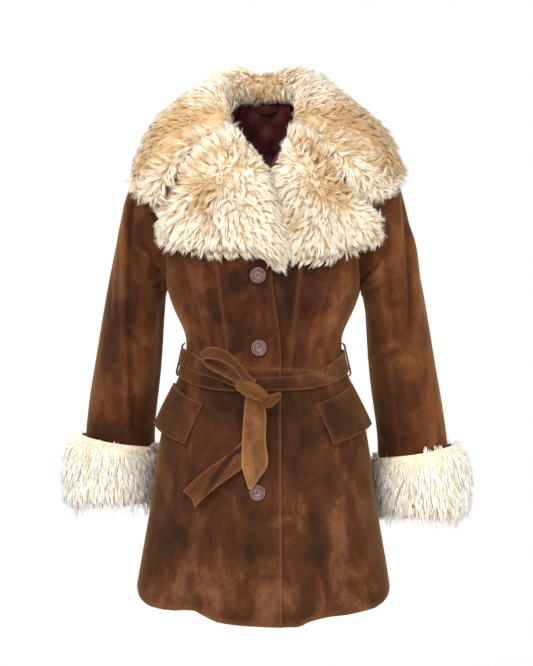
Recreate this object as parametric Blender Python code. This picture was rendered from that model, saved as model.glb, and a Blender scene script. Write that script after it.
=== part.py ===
"""Belted suede coat with a fur collar, fur lapels and fur cuffs, in the shape it has when worn.

Metres, +Z up. The wearer faces -Y, so +X is the wearer's left and -X the wearer's right. The
origin is the middle of the neck. Every cloth piece is a closed wall; the body, the sleeves and
the neck are hollow and open at hem, cuffs and collar.
"""
import math
from collections import namedtuple

import bmesh
import bpy
from mathutils import Vector

# Cloth and clearances
WALL = 0.002
SEAM_GAP = 0.0003
LIE_GAP = 0.0006
OVERLAP_LIFT = 0.0031
RING_FLATNESS = 0.85
SMOOTH_BELOW = math.radians(50)

# Small steps that measure the slope of a surface
PROBE_TURN, PROBE_RISE, PROBE_STEP = 0.004, 0.001, 0.05

# Heights of the cut
HEM = -0.787
WAIST = -0.400
UNDERARM = -0.275
SHOULDER = -0.050
NECK_SIDE = 0.012
NECK_BACK_RISE = 0.022
SIDE_PANEL_TOP = -0.150
SHOULDER_SEAM_TOP = -0.024
ARMHOLE_DIP = 0.018
COLLAR_SEAM_ROW = -0.008

# The body as level rings: half width, and depth in front of and behind the shoulder line
BodyRing = namedtuple("BodyRing", "z half_width front_depth back_depth")
BODY_RINGS = (
    BodyRing(-0.790, 0.203, 0.150, 0.140),
    BodyRing(-0.738, 0.198, 0.145, 0.136),
    BodyRing(-0.611, 0.179, 0.132, 0.126),
    BodyRing(-0.501, 0.164, 0.120, 0.115),
    BodyRing(-0.427, 0.142, 0.104, 0.100),
    BodyRing(-0.395, 0.129, 0.096, 0.090),
    BodyRing(-0.363, 0.124, 0.093, 0.086),
    BodyRing(-0.339, 0.127, 0.098, 0.088),
    BodyRing(-0.309, 0.144, 0.108, 0.094),
    BodyRing(-0.275, 0.155, 0.116, 0.100),
    BodyRing(-0.211, 0.165, 0.118, 0.104),
    BodyRing(-0.131, 0.178, 0.106, 0.104),
    BodyRing(-0.080, 0.186, 0.092, 0.098),
    BodyRing(-0.050, 0.186, 0.080, 0.092),
    BodyRing(-0.030, 0.150, 0.066, 0.086),
    BodyRing(-0.008, 0.105, 0.056, 0.080),
    BodyRing(0.012, 0.072, 0.046, 0.074),
    BodyRing(0.034, 0.060, 0.040, 0.066),
)

# Lines across the front, as distances from the centre front
FrontLine = namedtuple("FrontLine", "z top_edge under_edge inner_seam outer_seam")
FRONT_LINES = (
    FrontLine(-0.790, 0.0385, -0.030, 0.048, 0.073),
    FrontLine(-0.410, 0.0338, -0.030, 0.048, 0.073),
    FrontLine(-0.363, 0.0325, -0.030, 0.051, 0.080),
    FrontLine(-0.337, 0.0311, -0.030, 0.054, 0.086),
    FrontLine(-0.255, 0.0215, -0.026, 0.064, 0.108),
    FrontLine(-0.200, 0.0220, -0.008, 0.073, 0.127),
    FrontLine(-0.150, 0.0200, 0.003, 0.085, 0.146),
    FrontLine(-0.102, 0.0145, 0.008, 0.101, 0.159),
    FrontLine(-0.030, -0.0400, 0.050, 0.119, 0.170),
    FrontLine(0.012, -0.0600, 0.060, 0.128, 0.180),
)
LIFT_START, LIFT_FULL = -0.058, -0.037

# Soft waves of the skirt, as ridges and troughs that grow towards the hem
SkirtFold = namedtuple("SkirtFold", "angle width height start_z")
SKIRT_FOLDS = (
    SkirtFold(-66, 15, 0.0060, -0.46),
    SkirtFold(-41, 11, -0.0085, -0.50),
    SkirtFold(-17, 14, 0.0050, -0.52),
    SkirtFold(20, 13, 0.0050, -0.52),
    SkirtFold(43, 10, -0.0080, -0.52),
    SkirtFold(67, 16, 0.0055, -0.46),
    SkirtFold(122, 15, -0.0075, -0.48),
    SkirtFold(150, 14, 0.0070, -0.46),
    SkirtFold(182, 15, -0.0065, -0.50),
    SkirtFold(211, 13, 0.0070, -0.47),
    SkirtFold(240, 14, -0.0075, -0.49),
)

# How far the hem rises above its lowest point, by angle from the centre front
HemRise = namedtuple("HemRise", "angle rise")
HEM_RISES = (
    HemRise(-180, 0.014),
    HemRise(-90, 0.029),
    HemRise(-60, 0.024),
    HemRise(-33, 0.018),
    HemRise(-19, 0.005),
    HemRise(0, 0.000),
    HemRise(17, 0.003),
    HemRise(27, 0.012),
    HemRise(50, 0.015),
    HemRise(75, 0.019),
    HemRise(90, 0.025),
    HemRise(180, 0.014),
)

# Sleeve rings from the armhole to the wrist: the outer and the inner point of each ring,
# its half depth, and how far the arm hangs behind the shoulder line
SleeveRing = namedtuple("SleeveRing", "step outer_x outer_z inner_x inner_z half_depth set_back")
SLEEVE_RINGS = (
    SleeveRing(0, 0.1870, -0.050, 0.1560, -0.275, 0.060, 0.000),
    SleeveRing(1, 0.2000, -0.067, 0.1570, -0.279, 0.066, 0.004),
    SleeveRing(2, 0.2120, -0.090, 0.1580, -0.282, 0.070, 0.007),
    SleeveRing(3, 0.2220, -0.120, 0.1585, -0.285, 0.073, 0.010),
    SleeveRing(4, 0.2315, -0.160, 0.1590, -0.289, 0.075, 0.013),
    SleeveRing(5, 0.2410, -0.205, 0.1595, -0.294, 0.075, 0.017),
    SleeveRing(6, 0.2500, -0.250, 0.1600, -0.302, 0.074, 0.022),
    SleeveRing(7, 0.2565, -0.285, 0.1610, -0.314, 0.073, 0.027),
    SleeveRing(8, 0.2620, -0.315, 0.1620, -0.332, 0.071, 0.032),
    SleeveRing(9, 0.2675, -0.345, 0.1630, -0.354, 0.069, 0.037),
    SleeveRing(10, 0.2735, -0.378, 0.1650, -0.382, 0.067, 0.043),
    SleeveRing(11, 0.2800, -0.410, 0.1680, -0.412, 0.065, 0.050),
    SleeveRing(12, 0.2865, -0.440, 0.1720, -0.440, 0.064, 0.057),
    SleeveRing(13, 0.2920, -0.472, 0.1770, -0.472, 0.063, 0.0665),
    SleeveRing(14, 0.2965, -0.502, 0.1803, -0.502, 0.062, 0.0715),
    SleeveRing(15, 0.2975, -0.530, 0.1805, -0.530, 0.062, 0.072),
    SleeveRing(16, 0.2975, -0.565, 0.1805, -0.565, 0.062, 0.072),
)
ARMHOLE_GAP = 0.0012
ARMHOLE_TOP_GAP = 0.0030
ARMHOLE_TOP_START = 0.6
SLEEVE_BLEND_START, SLEEVE_BLEND_END = -0.4, 2.0
SLEEVE_SEAM_ANGLE = 112
SLEEVE_TOP_COLUMNS, SLEEVE_UNDER_COLUMNS = 10, 6
LEFT_SLEEVE_EXTRA, EXTRA_FROM_STEP, EXTRA_TO_STEP = 0.016, 7, 14
RIGHT_SLEEVE_SPREAD, SPREAD_FROM_STEP, SPREAD_TO_STEP = 0.004, 2, 12

# Soft creases along the sleeve: where on the ring they run, and their depth
CREASE_FADE_OUT, CREASE_FADE_IN = 2, 1
SleeveCrease = namedtuple("SleeveCrease", "angle width height first_step last_step")
SLEEVE_CREASES = (
    SleeveCrease(-78, 16, -0.0050, 3, 11),
    SleeveCrease(-128, 14, 0.0040, 5, 11),
    SleeveCrease(95, 18, -0.0045, 4, 10),
    SleeveCrease(30, 24, 0.0030, 6, 11),
)

# Fur cuffs
CUFF_TOP = -0.516
CUFF_HEIGHT = 0.114
CUFF_CLEARANCE = 0.0016
CUFF_EDGE = 0.003
CUFF_TILT = 0.013
CUFF_FLARE = 0.022
CUFF_ROUNDNESS = 3.5
CUFF_SIDES, CUFF_ROWS = 20, 7
FurReach = namedtuple("FurReach", "angle thickness")
CUFF_FUR = (
    FurReach(0, 0.037),
    FurReach(60, 0.031),
    FurReach(110, 0.020),
    FurReach(150, 0.0075),
    FurReach(180, 0.0060),
)

# Fur collar sections from the centre back (share 0) to the front end (share 1). Each pair is a
# distance from the neck axis and a height; the turn is measured from straight back.
CollarSection = namedtuple(
    "CollarSection", "share neck_turn edge_turn neck roll mid fall edge seat under crest tuck")
COLLAR_SECTIONS = (
    CollarSection(0.00, 0, 0,
                  neck=(0.047, 0.0352), roll=(0.072, 0.080), mid=(0.108, 0.036),
                  fall=(0.131, -0.034), edge=(0.140, -0.104),
                  seat=(0.068, 0.0346), under=(0.0915, -0.018), crest=(0.106, -0.060),
                  tuck=(0.122, -0.102)),
    CollarSection(0.30, 40, 42,
                  neck=(0.048, 0.033), roll=(0.077, 0.087), mid=(0.128, 0.036),
                  fall=(0.160, -0.034), edge=(0.173, -0.101),
                  seat=(0.078, 0.0355), under=(0.1120, -0.018), crest=(0.138, -0.058),
                  tuck=(0.157, -0.099)),
    CollarSection(0.60, 84, 84,
                  neck=(0.050, 0.020), roll=(0.082, 0.070), mid=(0.150, 0.021),
                  fall=(0.2080, -0.029), edge=(0.2185, -0.078),
                  seat=(0.076, 0.0205), under=(0.1400, -0.013), crest=(0.192, -0.041),
                  tuck=(0.2165, -0.079)),
    CollarSection(0.80, 116, 106,
                  neck=(0.055, 0.014), roll=(0.084, 0.052), mid=(0.152, 0.010),
                  fall=(0.209, -0.052), edge=(0.2235, -0.126),
                  seat=(0.074, 0.0185), under=(0.1300, -0.014), crest=(0.181, -0.045),
                  tuck=(0.2110, -0.122)),
    CollarSection(1.00, 146, 125,
                  neck=(0.079, -0.016), roll=(0.102, 0.006), mid=(0.145, -0.038),
                  fall=(0.190, -0.098), edge=(0.204, -0.150),
                  seat=(0.086, -0.021), under=(0.1220, -0.058), crest=(0.162, -0.104),
                  tuck=(0.190, -0.150)),
)
COLLAR_STATIONS = 11
COLLAR_COLUMNS = 12
COLLAR_STAND_TUCK, COLLAR_STAND_RISE = 0.002, 0.55

# Fur lapels: outlines on the front, as points across and up
LAPEL_FUR, LAPEL_EDGE = 0.026, 0.0024
LAPEL_CELLS = 11
LAPEL_ROUNDING = 0.020
LAPEL_SNUG, SNUG_UNTIL, SNUG_OFF = 2.5, 0.55, 0.80
LAPEL_GAP = 0.0011
LAPEL_TOP_GAP, TOP_GAP_FROM, TOP_GAP_FULL = 0.0020, -0.12, -0.06
RIGHT_LAPEL = {
    "outer": ((-0.0490, -0.0390), (-0.0790, -0.0690), (-0.1170, -0.1100), (-0.1500, -0.1540),
              (-0.1590, -0.1840), (-0.1475, -0.2040)),
    "bottom": ((-0.1475, -0.204), (-0.1000, -0.2205), (-0.0585, -0.2265), (-0.0180, -0.2255),
               (0.0060, -0.232), (0.0240, -0.2500), (0.0420, -0.236)),
    "inner": ((-0.0375, -0.0400), (-0.0100, -0.0670), (0.0165, -0.1020), (0.0345, -0.165),
              (0.0430, -0.210), (0.0420, -0.236)),
}
LEFT_LAPEL = {
    "outer": ((0.0545, -0.0420), (0.0810, -0.0720), (0.1180, -0.1110), (0.1530, -0.1540),
              (0.1890, -0.1850), (0.1830, -0.2030)),
    "bottom": ((0.1830, -0.203), (0.1480, -0.2175), (0.1115, -0.229), (0.0865, -0.238),
               (0.0490, -0.232)),
    "inner": ((0.0450, -0.0430), (0.0335, -0.0640), (0.0240, -0.0940), (0.0250, -0.1130),
              (0.0395, -0.165), (0.0480, -0.210), (0.0490, -0.232)),
}
DRAPE_START = 0.115
DRAPE_END_X, DRAPE_END_DEPTH = 0.190, 0.0725
DRAPE_PROBE = 0.002

# Pocket flaps: corners as angle from the centre front and height
FlapCorner = namedtuple("FlapCorner", "angle z")
FLAP_CORNERS = {
    "outer_top": FlapCorner(79, -0.424),
    "inner_top": FlapCorner(35, -0.454),
    "inner_bottom": FlapCorner(42.5, -0.516),
    "outer_bottom": FlapCorner(82, -0.490),
}
FLAP_WALL = 0.003
FLAP_STAND_OUT, FLAP_INNER_SHARE = 0.010, 0.3
FLAP_ROWS, FLAP_COLUMNS = 6, 8

# Tie belt
BELT_WALL = 0.003
BELT_GAP = 0.0016
BELT_SIDE_Z = -0.383
BELT_JOIN_Z = -0.387
BELT_BACK_Z = -0.376
BELT_KNOT_Z = -0.428
BELT_KNOT_RISE, KNOT_RISE_FROM = 0.008, 0.80
BELT_BACK_JOINT, BELT_FRONT_JOINT = math.radians(93), math.radians(92.6)
BELT_BACK_CELLS, BELT_FRONT_CELLS = 18, 12
BELT_LEVELS = (1.0, 0.35, -0.35, -1.0)
BELT_SLOPE_FROM, BELT_SLOPE_TO = -0.25, 1.1
BELT_NARROWS_FROM = 0.2
BELT_STEP_FROM, BELT_STEP_TO = 0.045, 0.080
KNOT_GAP = 0.0012
BELT_SIDE_HALF, BELT_KNOT_HALF = 0.0155, 0.0095
BELT_LOOP_ANGLE = math.radians(86)
BELT_LOOP_WIDTH = 0.006
BELT_LOOP_WALL = 0.0016
BELT_LOOP_Z = (-0.4130, -0.4100, -0.4050, -0.3690, -0.3630, -0.3600)
BELT_LOOP_OUT = (0.0026, 0.0068, 0.0072, 0.0072, 0.0068, 0.0026)
KNOT_CENTRE = (-0.0030, -0.1296, -0.4350)
KNOT_SIZE = (0.056, 0.033, 0.042)
KNOT_BEVEL, KNOT_SEGMENTS, KNOT_PROFILE = 0.26, 3, 0.6
BOW_PATH = ((-0.0337, -0.1350, -0.4235), (-0.0525, -0.1365, -0.4090), (-0.0725, -0.1375, -0.3945),
            (-0.0840, -0.1375, -0.3835), (-0.0775, -0.1375, -0.3735), (-0.0615, -0.1375, -0.3705),
            (-0.0415, -0.1365, -0.3835), (-0.0200, -0.1350, -0.4083))
BOW_HALF_WIDTH = (0.0030, 0.0085, 0.0070)
BOW_WALL = 0.0026
BOW_CELLS = 18
PATH_STEP = 0.01
BELT_END_ROWS, HANGING_COLUMNS, CURLED_COLUMNS = 12, 4, 6
BeltEnd = namedtuple("BeltEnd", "z left_x right_x out")
HANGING_END = (
    BeltEnd(-0.4602, -0.0170, 0.0065, 0.0105),
    BeltEnd(-0.4760, -0.0195, 0.0085, 0.0080),
    BeltEnd(-0.5000, -0.0220, 0.0105, 0.0068),
    BeltEnd(-0.5250, -0.0230, 0.0140, 0.0062),
    BeltEnd(-0.5430, -0.0235, 0.0165, 0.0060),
    BeltEnd(-0.5620, -0.0185, 0.0055, 0.0060),
    BeltEnd(-0.5820, -0.0125, -0.0075, 0.0060),
)
CURLED_PATH = ((-0.0045, -0.4960), (-0.0115, -0.5180), (-0.0335, -0.5400), (-0.0675, -0.5660),
               (-0.1025, -0.5990))
CURLED_HALF_WIDTH = 0.0150
CURL_HEIGHT, CURL_FROM, CURL_FULL = 0.0075, 0.45, 0.80
CURLED_WALL = 0.0027
CURLED_GAP = 0.0009

# Buttons
BUTTON_X = 0.0
ButtonPlace = namedtuple("ButtonPlace", "z gap")
BUTTON_PLACES = (
    ButtonPlace(-0.2555, 0.0008),
    ButtonPlace(-0.3675, 0.0014),
    ButtonPlace(-0.4770, 0.0005),
    ButtonPlace(-0.5870, 0.0008),
)
BUTTON_RADIUS = 0.0120
BUTTON_THICKNESS = 0.0038
BUTTON_RIM = 0.0026
BUTTON_DISH = 0.0010
BUTTON_SIDES = 20
BUTTON_BEVEL = 0.0010

# Quilted lining of the back neck, and the hanger loop
LINING_HALF_WIDTH = 0.066
LINING_GAP = 0.0012
LINING_BOTTOM = -0.125
LINING_TOP_INSET = 0.004
LINING_RING_SHARE = 0.72
LINING_SIDE_DROP = 0.08
LINING_ROWS, LINING_COLUMNS = 17, 16
QUILT_WIDTH, QUILT_HEIGHT, QUILT_PUFF, QUILT_FULLNESS = 0.043, 0.048, 0.0048, 0.6
HANGER_HALF_LENGTH = 0.018
HANGER_Z = 0.0250
HANGER_WIDTH = 0.006
HANGER_WALL = 0.0015
HANGER_BOW, HANGER_SAG = 0.005, 0.004
HANGER_CELLS = 8

# Row heights and column counts of the panels
BODICE_HEIGHTS = (-0.385, -0.370, -0.355, -0.340, -0.305, -0.275, -0.262, -0.240, -0.205, -0.176)
UPPER_HEIGHTS = (-0.120, -0.085, -0.064, -0.050, -0.034)
SKIRT_ROWS = 14
CENTRE_COLUMNS, MIDDLE_COLUMNS, SIDE_COLUMNS, BACK_COLUMNS = 7, 3, 4, 20
SKIRT_FRONT_COLUMNS, SKIRT_BACK_COLUMNS = 13, 22
SKIRT_ROW_CROWDING = 1.45
STEP_ROW = 0.0005

Finish = namedtuple("Finish", "colour roughness")
SUEDE = Finish((0.105, 0.041, 0.015), 0.92)
SLEEVE_SUEDE = Finish((0.088, 0.033, 0.012), 0.92)
FUR = Finish((0.870, 0.760, 0.560), 0.95)
CUFF_FUR_FINISH = Finish((0.880, 0.820, 0.690), 0.95)
LINING = Finish((0.052, 0.011, 0.013), 0.45)
BUTTON = Finish((0.120, 0.055, 0.052), 0.30)


def clamp(value, low=0.0, high=1.0):
    return max(low, min(high, value))


def ease(start, end, value):
    share = clamp((value - start) / (end - start))
    return share * share * (3.0 - 2.0 * share)


def mix(first, second, share):
    return first + (second - first) * share


def bump(offset, width):
    """A soft bell, 1 at the middle and near 0 at twice its width."""
    return math.exp(-((offset / width) ** 2))


def read_number(keys, values, at):
    """A smooth curve through the values that never overshoots them."""
    at = clamp(at, keys[0], keys[-1])
    spot = 0
    while spot < len(keys) - 2 and at > keys[spot + 1]:
        spot += 1
    secants = [(values[i + 1] - values[i]) / (keys[i + 1] - keys[i]) for i in range(len(keys) - 1)]

    def slope(i):
        if i in (0, len(keys) - 1):
            return secants[min(i, len(secants) - 1)]
        before, after = secants[i - 1], secants[i]
        return 0.0 if before * after <= 0 else 2 * before * after / (before + after)

    span = keys[spot + 1] - keys[spot]
    s = (at - keys[spot]) / span
    return (values[spot] * (1 + 2 * s) * (1 - s) ** 2 + slope(spot) * span * s * (1 - s) ** 2
            + values[spot + 1] * s * s * (3 - 2 * s) + slope(spot + 1) * span * s * s * (s - 1))


def read(table, at, column):
    """A column of a table, read where its first column has the given value."""
    keys = [row[0] for row in table]
    values = [getattr(row, column) for row in table]
    if isinstance(values[0], tuple):
        return tuple(read_number(keys, [value[part] for value in values], at) for part in (0, 1))
    return read_number(keys, values, at)


def along(points, share):
    """A smooth curve through points, at a share of the way from the first to the last."""
    points = [Vector(point) for point in points]
    place = clamp(share) * (len(points) - 1)
    spot = min(int(place), len(points) - 2)
    s = place - spot
    start, end = points[spot], points[spot + 1]
    before = points[spot - 1] if spot else start * 2 - end
    after = points[spot + 2] if spot + 2 < len(points) else end * 2 - start
    return 0.5 * (start * 2 + (end - before) * s
                  + (before * 2 - start * 5 + end * 4 - after) * s * s
                  + (start * 3 - before - end * 3 + after) * s ** 3)


def shares(count):
    return [i / count for i in range(count + 1)]


def normal_of(surface, u, v, step_u, step_v):
    across = surface(u + step_u, v) - surface(u - step_u, v)
    up = surface(u, v + step_v) - surface(u, v - step_v)
    return across.cross(up).normalized()


# The body form

def half_width(z):
    return read(BODY_RINGS, z, "half_width")


def body_base(angle, z):
    """The outer face of the body; angle 0 is the centre front and 90 degrees the wearer's left."""
    turn = (math.degrees(angle) + 90.0) % 360.0 - 90.0
    swell = 0.0
    for fold in SKIRT_FOLDS:
        offset = (turn - fold.angle + 180.0) % 360.0 - 180.0
        swell += fold.height * bump(offset, fold.width) * ease(fold.start_z, HEM, z)
    cosine = math.cos(angle)
    depth = read(BODY_RINGS, z, "front_depth" if cosine > 0 else "back_depth")
    flat = math.copysign(abs(cosine) ** RING_FLATNESS, cosine)
    return Vector(((half_width(z) + swell) * math.sin(angle), -(depth + swell) * flat, z))


def body_point(angle, z, out=0.0):
    return body_base(angle, z) + normal_of(body_base, angle, z, PROBE_TURN, PROBE_RISE) * out


def ring_angle(x, z):
    return math.asin(clamp(x / half_width(z), -1.0, 1.0))


def overlap_lift(x):
    """How far the wearer's right front stands out, to lie over the left one."""
    return OVERLAP_LIFT * ease(LIFT_START, LIFT_FULL, x)


def front_point(x, z, out=0.0):
    return body_point(ring_angle(x, z), z, out + overlap_lift(x))


def armhole_angle(z):
    """The angle at which the armhole cuts the ring; a right angle below and above it."""
    rise = clamp((z - UNDERARM) / (SHOULDER - UNDERARM))
    return ring_angle(half_width(z) - ARMHOLE_DIP * math.sin(math.pi * rise), z)


def neck_rise(angle, z):
    """The back neck is cut higher than the neck at the shoulders."""
    toward_side = clamp(abs(math.pi - abs(angle)) / (math.pi / 2))
    return NECK_BACK_RISE * ease(SHOULDER, NECK_SIDE, z) * (1 - toward_side ** 2)


def hem_height(angle):
    turn = (math.degrees(angle) + 180.0) % 360.0 - 180.0
    return HEM + read(HEM_RISES, turn, "rise")


# Building

def new_object(name, mesh, finish):
    material = bpy.data.materials.new(name)
    material.use_nodes = True
    shader = material.node_tree.nodes["Principled BSDF"]
    shader.inputs["Base Color"].default_value = (*finish.colour, 1.0)
    shader.inputs["Roughness"].default_value = finish.roughness
    shader.inputs["Metallic"].default_value = 0.0
    mesh.materials.append(material)
    piece = bpy.data.objects.new(name, mesh)
    bpy.context.collection.objects.link(piece)
    return piece


def wall(name, outer, inner, finish, closed=False):
    """A closed wall between two grids of points; a closed wall joins its last row to its first."""
    rows, columns = len(outer), len(outer[0])
    shape = bmesh.new()
    faces = [[[shape.verts.new(point) for point in row] for row in grid] for grid in (outer, inner)]
    outside, inside = faces
    for i in range(rows if closed else rows - 1):
        j = (i + 1) % rows
        for c in range(columns - 1):
            shape.faces.new((outside[i][c], outside[i][c + 1], outside[j][c + 1], outside[j][c]))
            shape.faces.new((inside[i][c], inside[j][c], inside[j][c + 1], inside[i][c + 1]))
        for c in (0, columns - 1):
            shape.faces.new((outside[i][c], outside[j][c], inside[j][c], inside[i][c]))
    if not closed:
        for i in (0, rows - 1):
            for c in range(columns - 1):
                shape.faces.new((outside[i][c], outside[i][c + 1], inside[i][c + 1], inside[i][c]))
    bmesh.ops.recalc_face_normals(shape, faces=shape.faces)
    mesh = bpy.data.meshes.new(name)
    shape.to_mesh(mesh)
    shape.free()
    mesh.shade_smooth()
    mesh.set_sharp_from_angle(angle=SMOOTH_BELOW)
    return new_object(name, mesh, finish)


def body_panel(name, heights, start, end, columns, out=lambda x: 0.0, height=lambda angle, z: z):
    """A panel of the body between two border angles, each a function of height."""
    outer, inner = [], []
    for z in heights:
        first, last = start(z), end(z)
        middle = (first + last) / 2
        pace = (body_base(middle + PROBE_TURN, z) - body_base(middle, z)).length / PROBE_TURN
        inset = SEAM_GAP / 2 / pace
        outer.append([])
        inner.append([])
        for share in shares(columns):
            angle = mix(first + inset, last - inset, share)
            level = height(angle, z)
            lift = out(half_width(level) * math.sin(angle))
            outer[-1].append(body_point(angle, level, lift))
            inner[-1].append(body_point(angle, level, lift - WALL))
    return wall(name, outer, inner, SUEDE)


# Bodice

def front_line(column, sign):
    """The angle of a line on the front; sign is -1 on the wearer's right and 1 on the left."""
    return lambda z: sign * ring_angle(min(read(FRONT_LINES, z, column), half_width(z)), z)


def edge_line(column):
    return lambda z: ring_angle(read(FRONT_LINES, z, column), z)


def between(first, last, sign):
    """Borders in the order of rising angle, whichever side the panel is on."""
    return (first, last) if sign > 0 else (last, first)


def make_front(side, sign, edge_column, lift):
    start_row = WAIST + SEAM_GAP / 2
    lower = (start_row,) + BODICE_HEIGHTS
    full = lower + (SIDE_PANEL_TOP - STEP_ROW, SIDE_PANEL_TOP + STEP_ROW) + UPPER_HEIGHTS
    inner_seam = front_line("inner_seam", sign)
    outer_seam = front_line("outer_seam", sign)

    def outside(z):
        return sign * armhole_angle(z)

    def middle_edge(z):
        return outer_seam(z) if z < SIDE_PANEL_TOP else outside(z)

    body_panel(f"bodice_front_centre_{side}", full + (SHOULDER_SEAM_TOP, COLLAR_SEAM_ROW, NECK_SIDE),
               *between(edge_line(edge_column), inner_seam, sign), CENTRE_COLUMNS, lift)
    body_panel(f"bodice_front_middle_{side}", full + (SHOULDER_SEAM_TOP,),
               *between(inner_seam, middle_edge, sign), MIDDLE_COLUMNS)
    body_panel(f"bodice_front_side_{side}", lower + (SIDE_PANEL_TOP - STEP_ROW,),
               *between(outer_seam, outside, sign), SIDE_COLUMNS)


def make_bodice_back():
    heights = ((WAIST + SEAM_GAP / 2,) + BODICE_HEIGHTS + (SIDE_PANEL_TOP,) + UPPER_HEIGHTS
               + (COLLAR_SEAM_ROW, NECK_SIDE))
    body_panel("bodice_back", heights, lambda z: math.pi - armhole_angle(z),
               lambda z: math.pi + armhole_angle(z), BACK_COLUMNS,
               height=lambda angle, z: z + neck_rise(angle, z))


# Skirt

def make_skirt(name, start, end, columns, lift=lambda x: 0.0):
    top = WAIST - SEAM_GAP / 2
    heights = [mix(top, HEM, share ** SKIRT_ROW_CROWDING) for share in shares(SKIRT_ROWS)]

    def height(angle, z):
        return z + (hem_height(angle) - HEM) * ease(WAIST, HEM, z)

    body_panel(name, heights, start, end, columns, lift, height)


# Sleeves

def sleeve_base(step, angle):
    """The wearer's left sleeve; angle 0 is its outer line and -90 degrees its front."""
    ring = {name: read(SLEEVE_RINGS, step, name) for name in SleeveRing._fields[1:]}
    outer = Vector((ring["outer_x"], 0.0, ring["outer_z"]))
    inner = Vector((ring["inner_x"], 0.0, ring["inner_z"]))
    swell = 0.0
    for crease in SLEEVE_CREASES:
        offset = (math.degrees(angle) - crease.angle + 180.0) % 360.0 - 180.0
        run = ease(crease.first_step - CREASE_FADE_OUT, crease.first_step + CREASE_FADE_IN, step)
        run *= 1 - ease(crease.last_step - CREASE_FADE_IN, crease.last_step + CREASE_FADE_OUT, step)
        swell += crease.height * bump(offset, crease.width) * run
    half = (outer - inner) / 2
    half += half.normalized() * swell
    point = (outer + inner) / 2 + half * math.cos(angle)
    point.y = (ring["half_depth"] + swell) * math.sin(angle) + ring["set_back"]
    level = mix(UNDERARM, SHOULDER, 0.5 + 0.5 * math.cos(angle))
    cut = armhole_angle(level)
    hole = body_base(cut if math.sin(angle) < 0 else math.pi - cut, level)
    hole.x += ARMHOLE_GAP + ARMHOLE_TOP_GAP * ease(ARMHOLE_TOP_START, 1.0, math.cos(angle))
    blend = ease(SLEEVE_BLEND_START, SLEEVE_BLEND_END, step) if step > 0 else 0.0
    return hole.lerp(point, blend)


def sleeve_point(step, angle, out, sign):
    inside = clamp(step, PROBE_STEP, SLEEVE_RINGS[-1].step - PROBE_STEP)
    normal = normal_of(lambda a, k: sleeve_base(k, a), angle, inside, PROBE_TURN, PROBE_STEP)
    point = sleeve_base(step, angle) - normal * out
    if sign > 0:
        point.z -= LEFT_SLEEVE_EXTRA * ease(EXTRA_FROM_STEP, EXTRA_TO_STEP, step)
    else:
        point.x += RIGHT_SLEEVE_SPREAD * ease(SPREAD_FROM_STEP, SPREAD_TO_STEP, step)
    return Vector((sign * point.x, point.y, point.z))


def make_sleeve(side, sign):
    steps = [0, 0.5] + list(range(1, len(SLEEVE_RINGS)))
    seam = math.radians(SLEEVE_SEAM_ANGLE)
    inset = SEAM_GAP / 2 / SLEEVE_RINGS[-1].half_depth
    halves = (("sleeve_top", -seam + inset, seam - inset, SLEEVE_TOP_COLUMNS),
              ("sleeve_under", seam + inset, 2 * math.pi - seam - inset,
               SLEEVE_UNDER_COLUMNS))
    for name, first, last, columns in halves:
        angles = [mix(first, last, share) for share in shares(columns)]
        outer = [[sleeve_point(step, angle, 0.0, sign) for angle in angles] for step in steps]
        inner = [[sleeve_point(step, angle, -WALL, sign) for angle in angles] for step in steps]
        wall(f"{name}_{side}", outer, inner, SLEEVE_SUEDE)


def make_cuff(side, sign):
    end = SLEEVE_RINGS[-1]
    centre = Vector(((end.outer_x + end.inner_x) / 2, end.set_back, CUFF_TOP))
    half_x = (end.outer_x - end.inner_x) / 2 + CUFF_CLEARANCE
    half_y = end.half_depth + CUFF_CLEARANCE
    drop = LEFT_SLEEVE_EXTRA if sign > 0 else 0.0
    centre.x += RIGHT_SLEEVE_SPREAD if sign < 0 else 0.0
    outer, inner = [], []
    for turn in range(0, 360, 360 // CUFF_SIDES):
        angle = math.radians(turn)
        reach = read(CUFF_FUR, min(turn, 360 - turn), "thickness")
        outer.append([])
        inner.append([])
        for share in shares(CUFF_ROWS):
            height = CUFF_HEIGHT + CUFF_FLARE * math.cos(angle)
            level = centre.z - drop + CUFF_TILT * math.cos(angle) - height * share
            fur = CUFF_EDGE + reach * math.sqrt(1 - abs(2 * share - 1) ** CUFF_ROUNDNESS)
            for grid, out in ((outer, fur), (inner, 0.0)):
                grid[-1].append(Vector((sign * (centre.x + (half_x + out) * math.cos(angle)),
                                        centre.y + (half_y + out) * math.sin(angle), level)))
    wall(f"cuff_{side}", outer, inner, CUFF_FUR_FINISH, closed=True)


# Fur collar and lapels

def collar_point(section, pair, share, sign):
    turn = math.radians(mix(section["neck_turn"], section["edge_turn"], share))
    return Vector((sign * pair[0] * math.sin(turn), pair[0] * math.cos(turn), pair[1]))


def make_collar():
    outer, inner = [], []
    for station in range(1 - COLLAR_STATIONS, COLLAR_STATIONS):
        place = abs(station) / (COLLAR_STATIONS - 1)
        sign = -1 if station < 0 else 1
        section = {name: read(COLLAR_SECTIONS, place, name) for name in CollarSection._fields[1:]}
        stand = (section["neck"][0] - COLLAR_STAND_TUCK,
                 mix(section["neck"][1], section["roll"][1], COLLAR_STAND_RISE))
        top = [section["neck"], stand, section["roll"], section["mid"], section["fall"],
               section["edge"]]
        under = [section["seat"], section["under"], section["crest"], section["tuck"]]
        outer.append([])
        inner.append([])
        for share in shares(COLLAR_COLUMNS):
            for grid, path in ((outer, top), (inner, under)):
                pair = along([(r, z) for r, z in path], share)
                grid[-1].append(collar_point(section, pair, share, sign))
    wall("collar", outer, inner, FUR)


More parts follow.
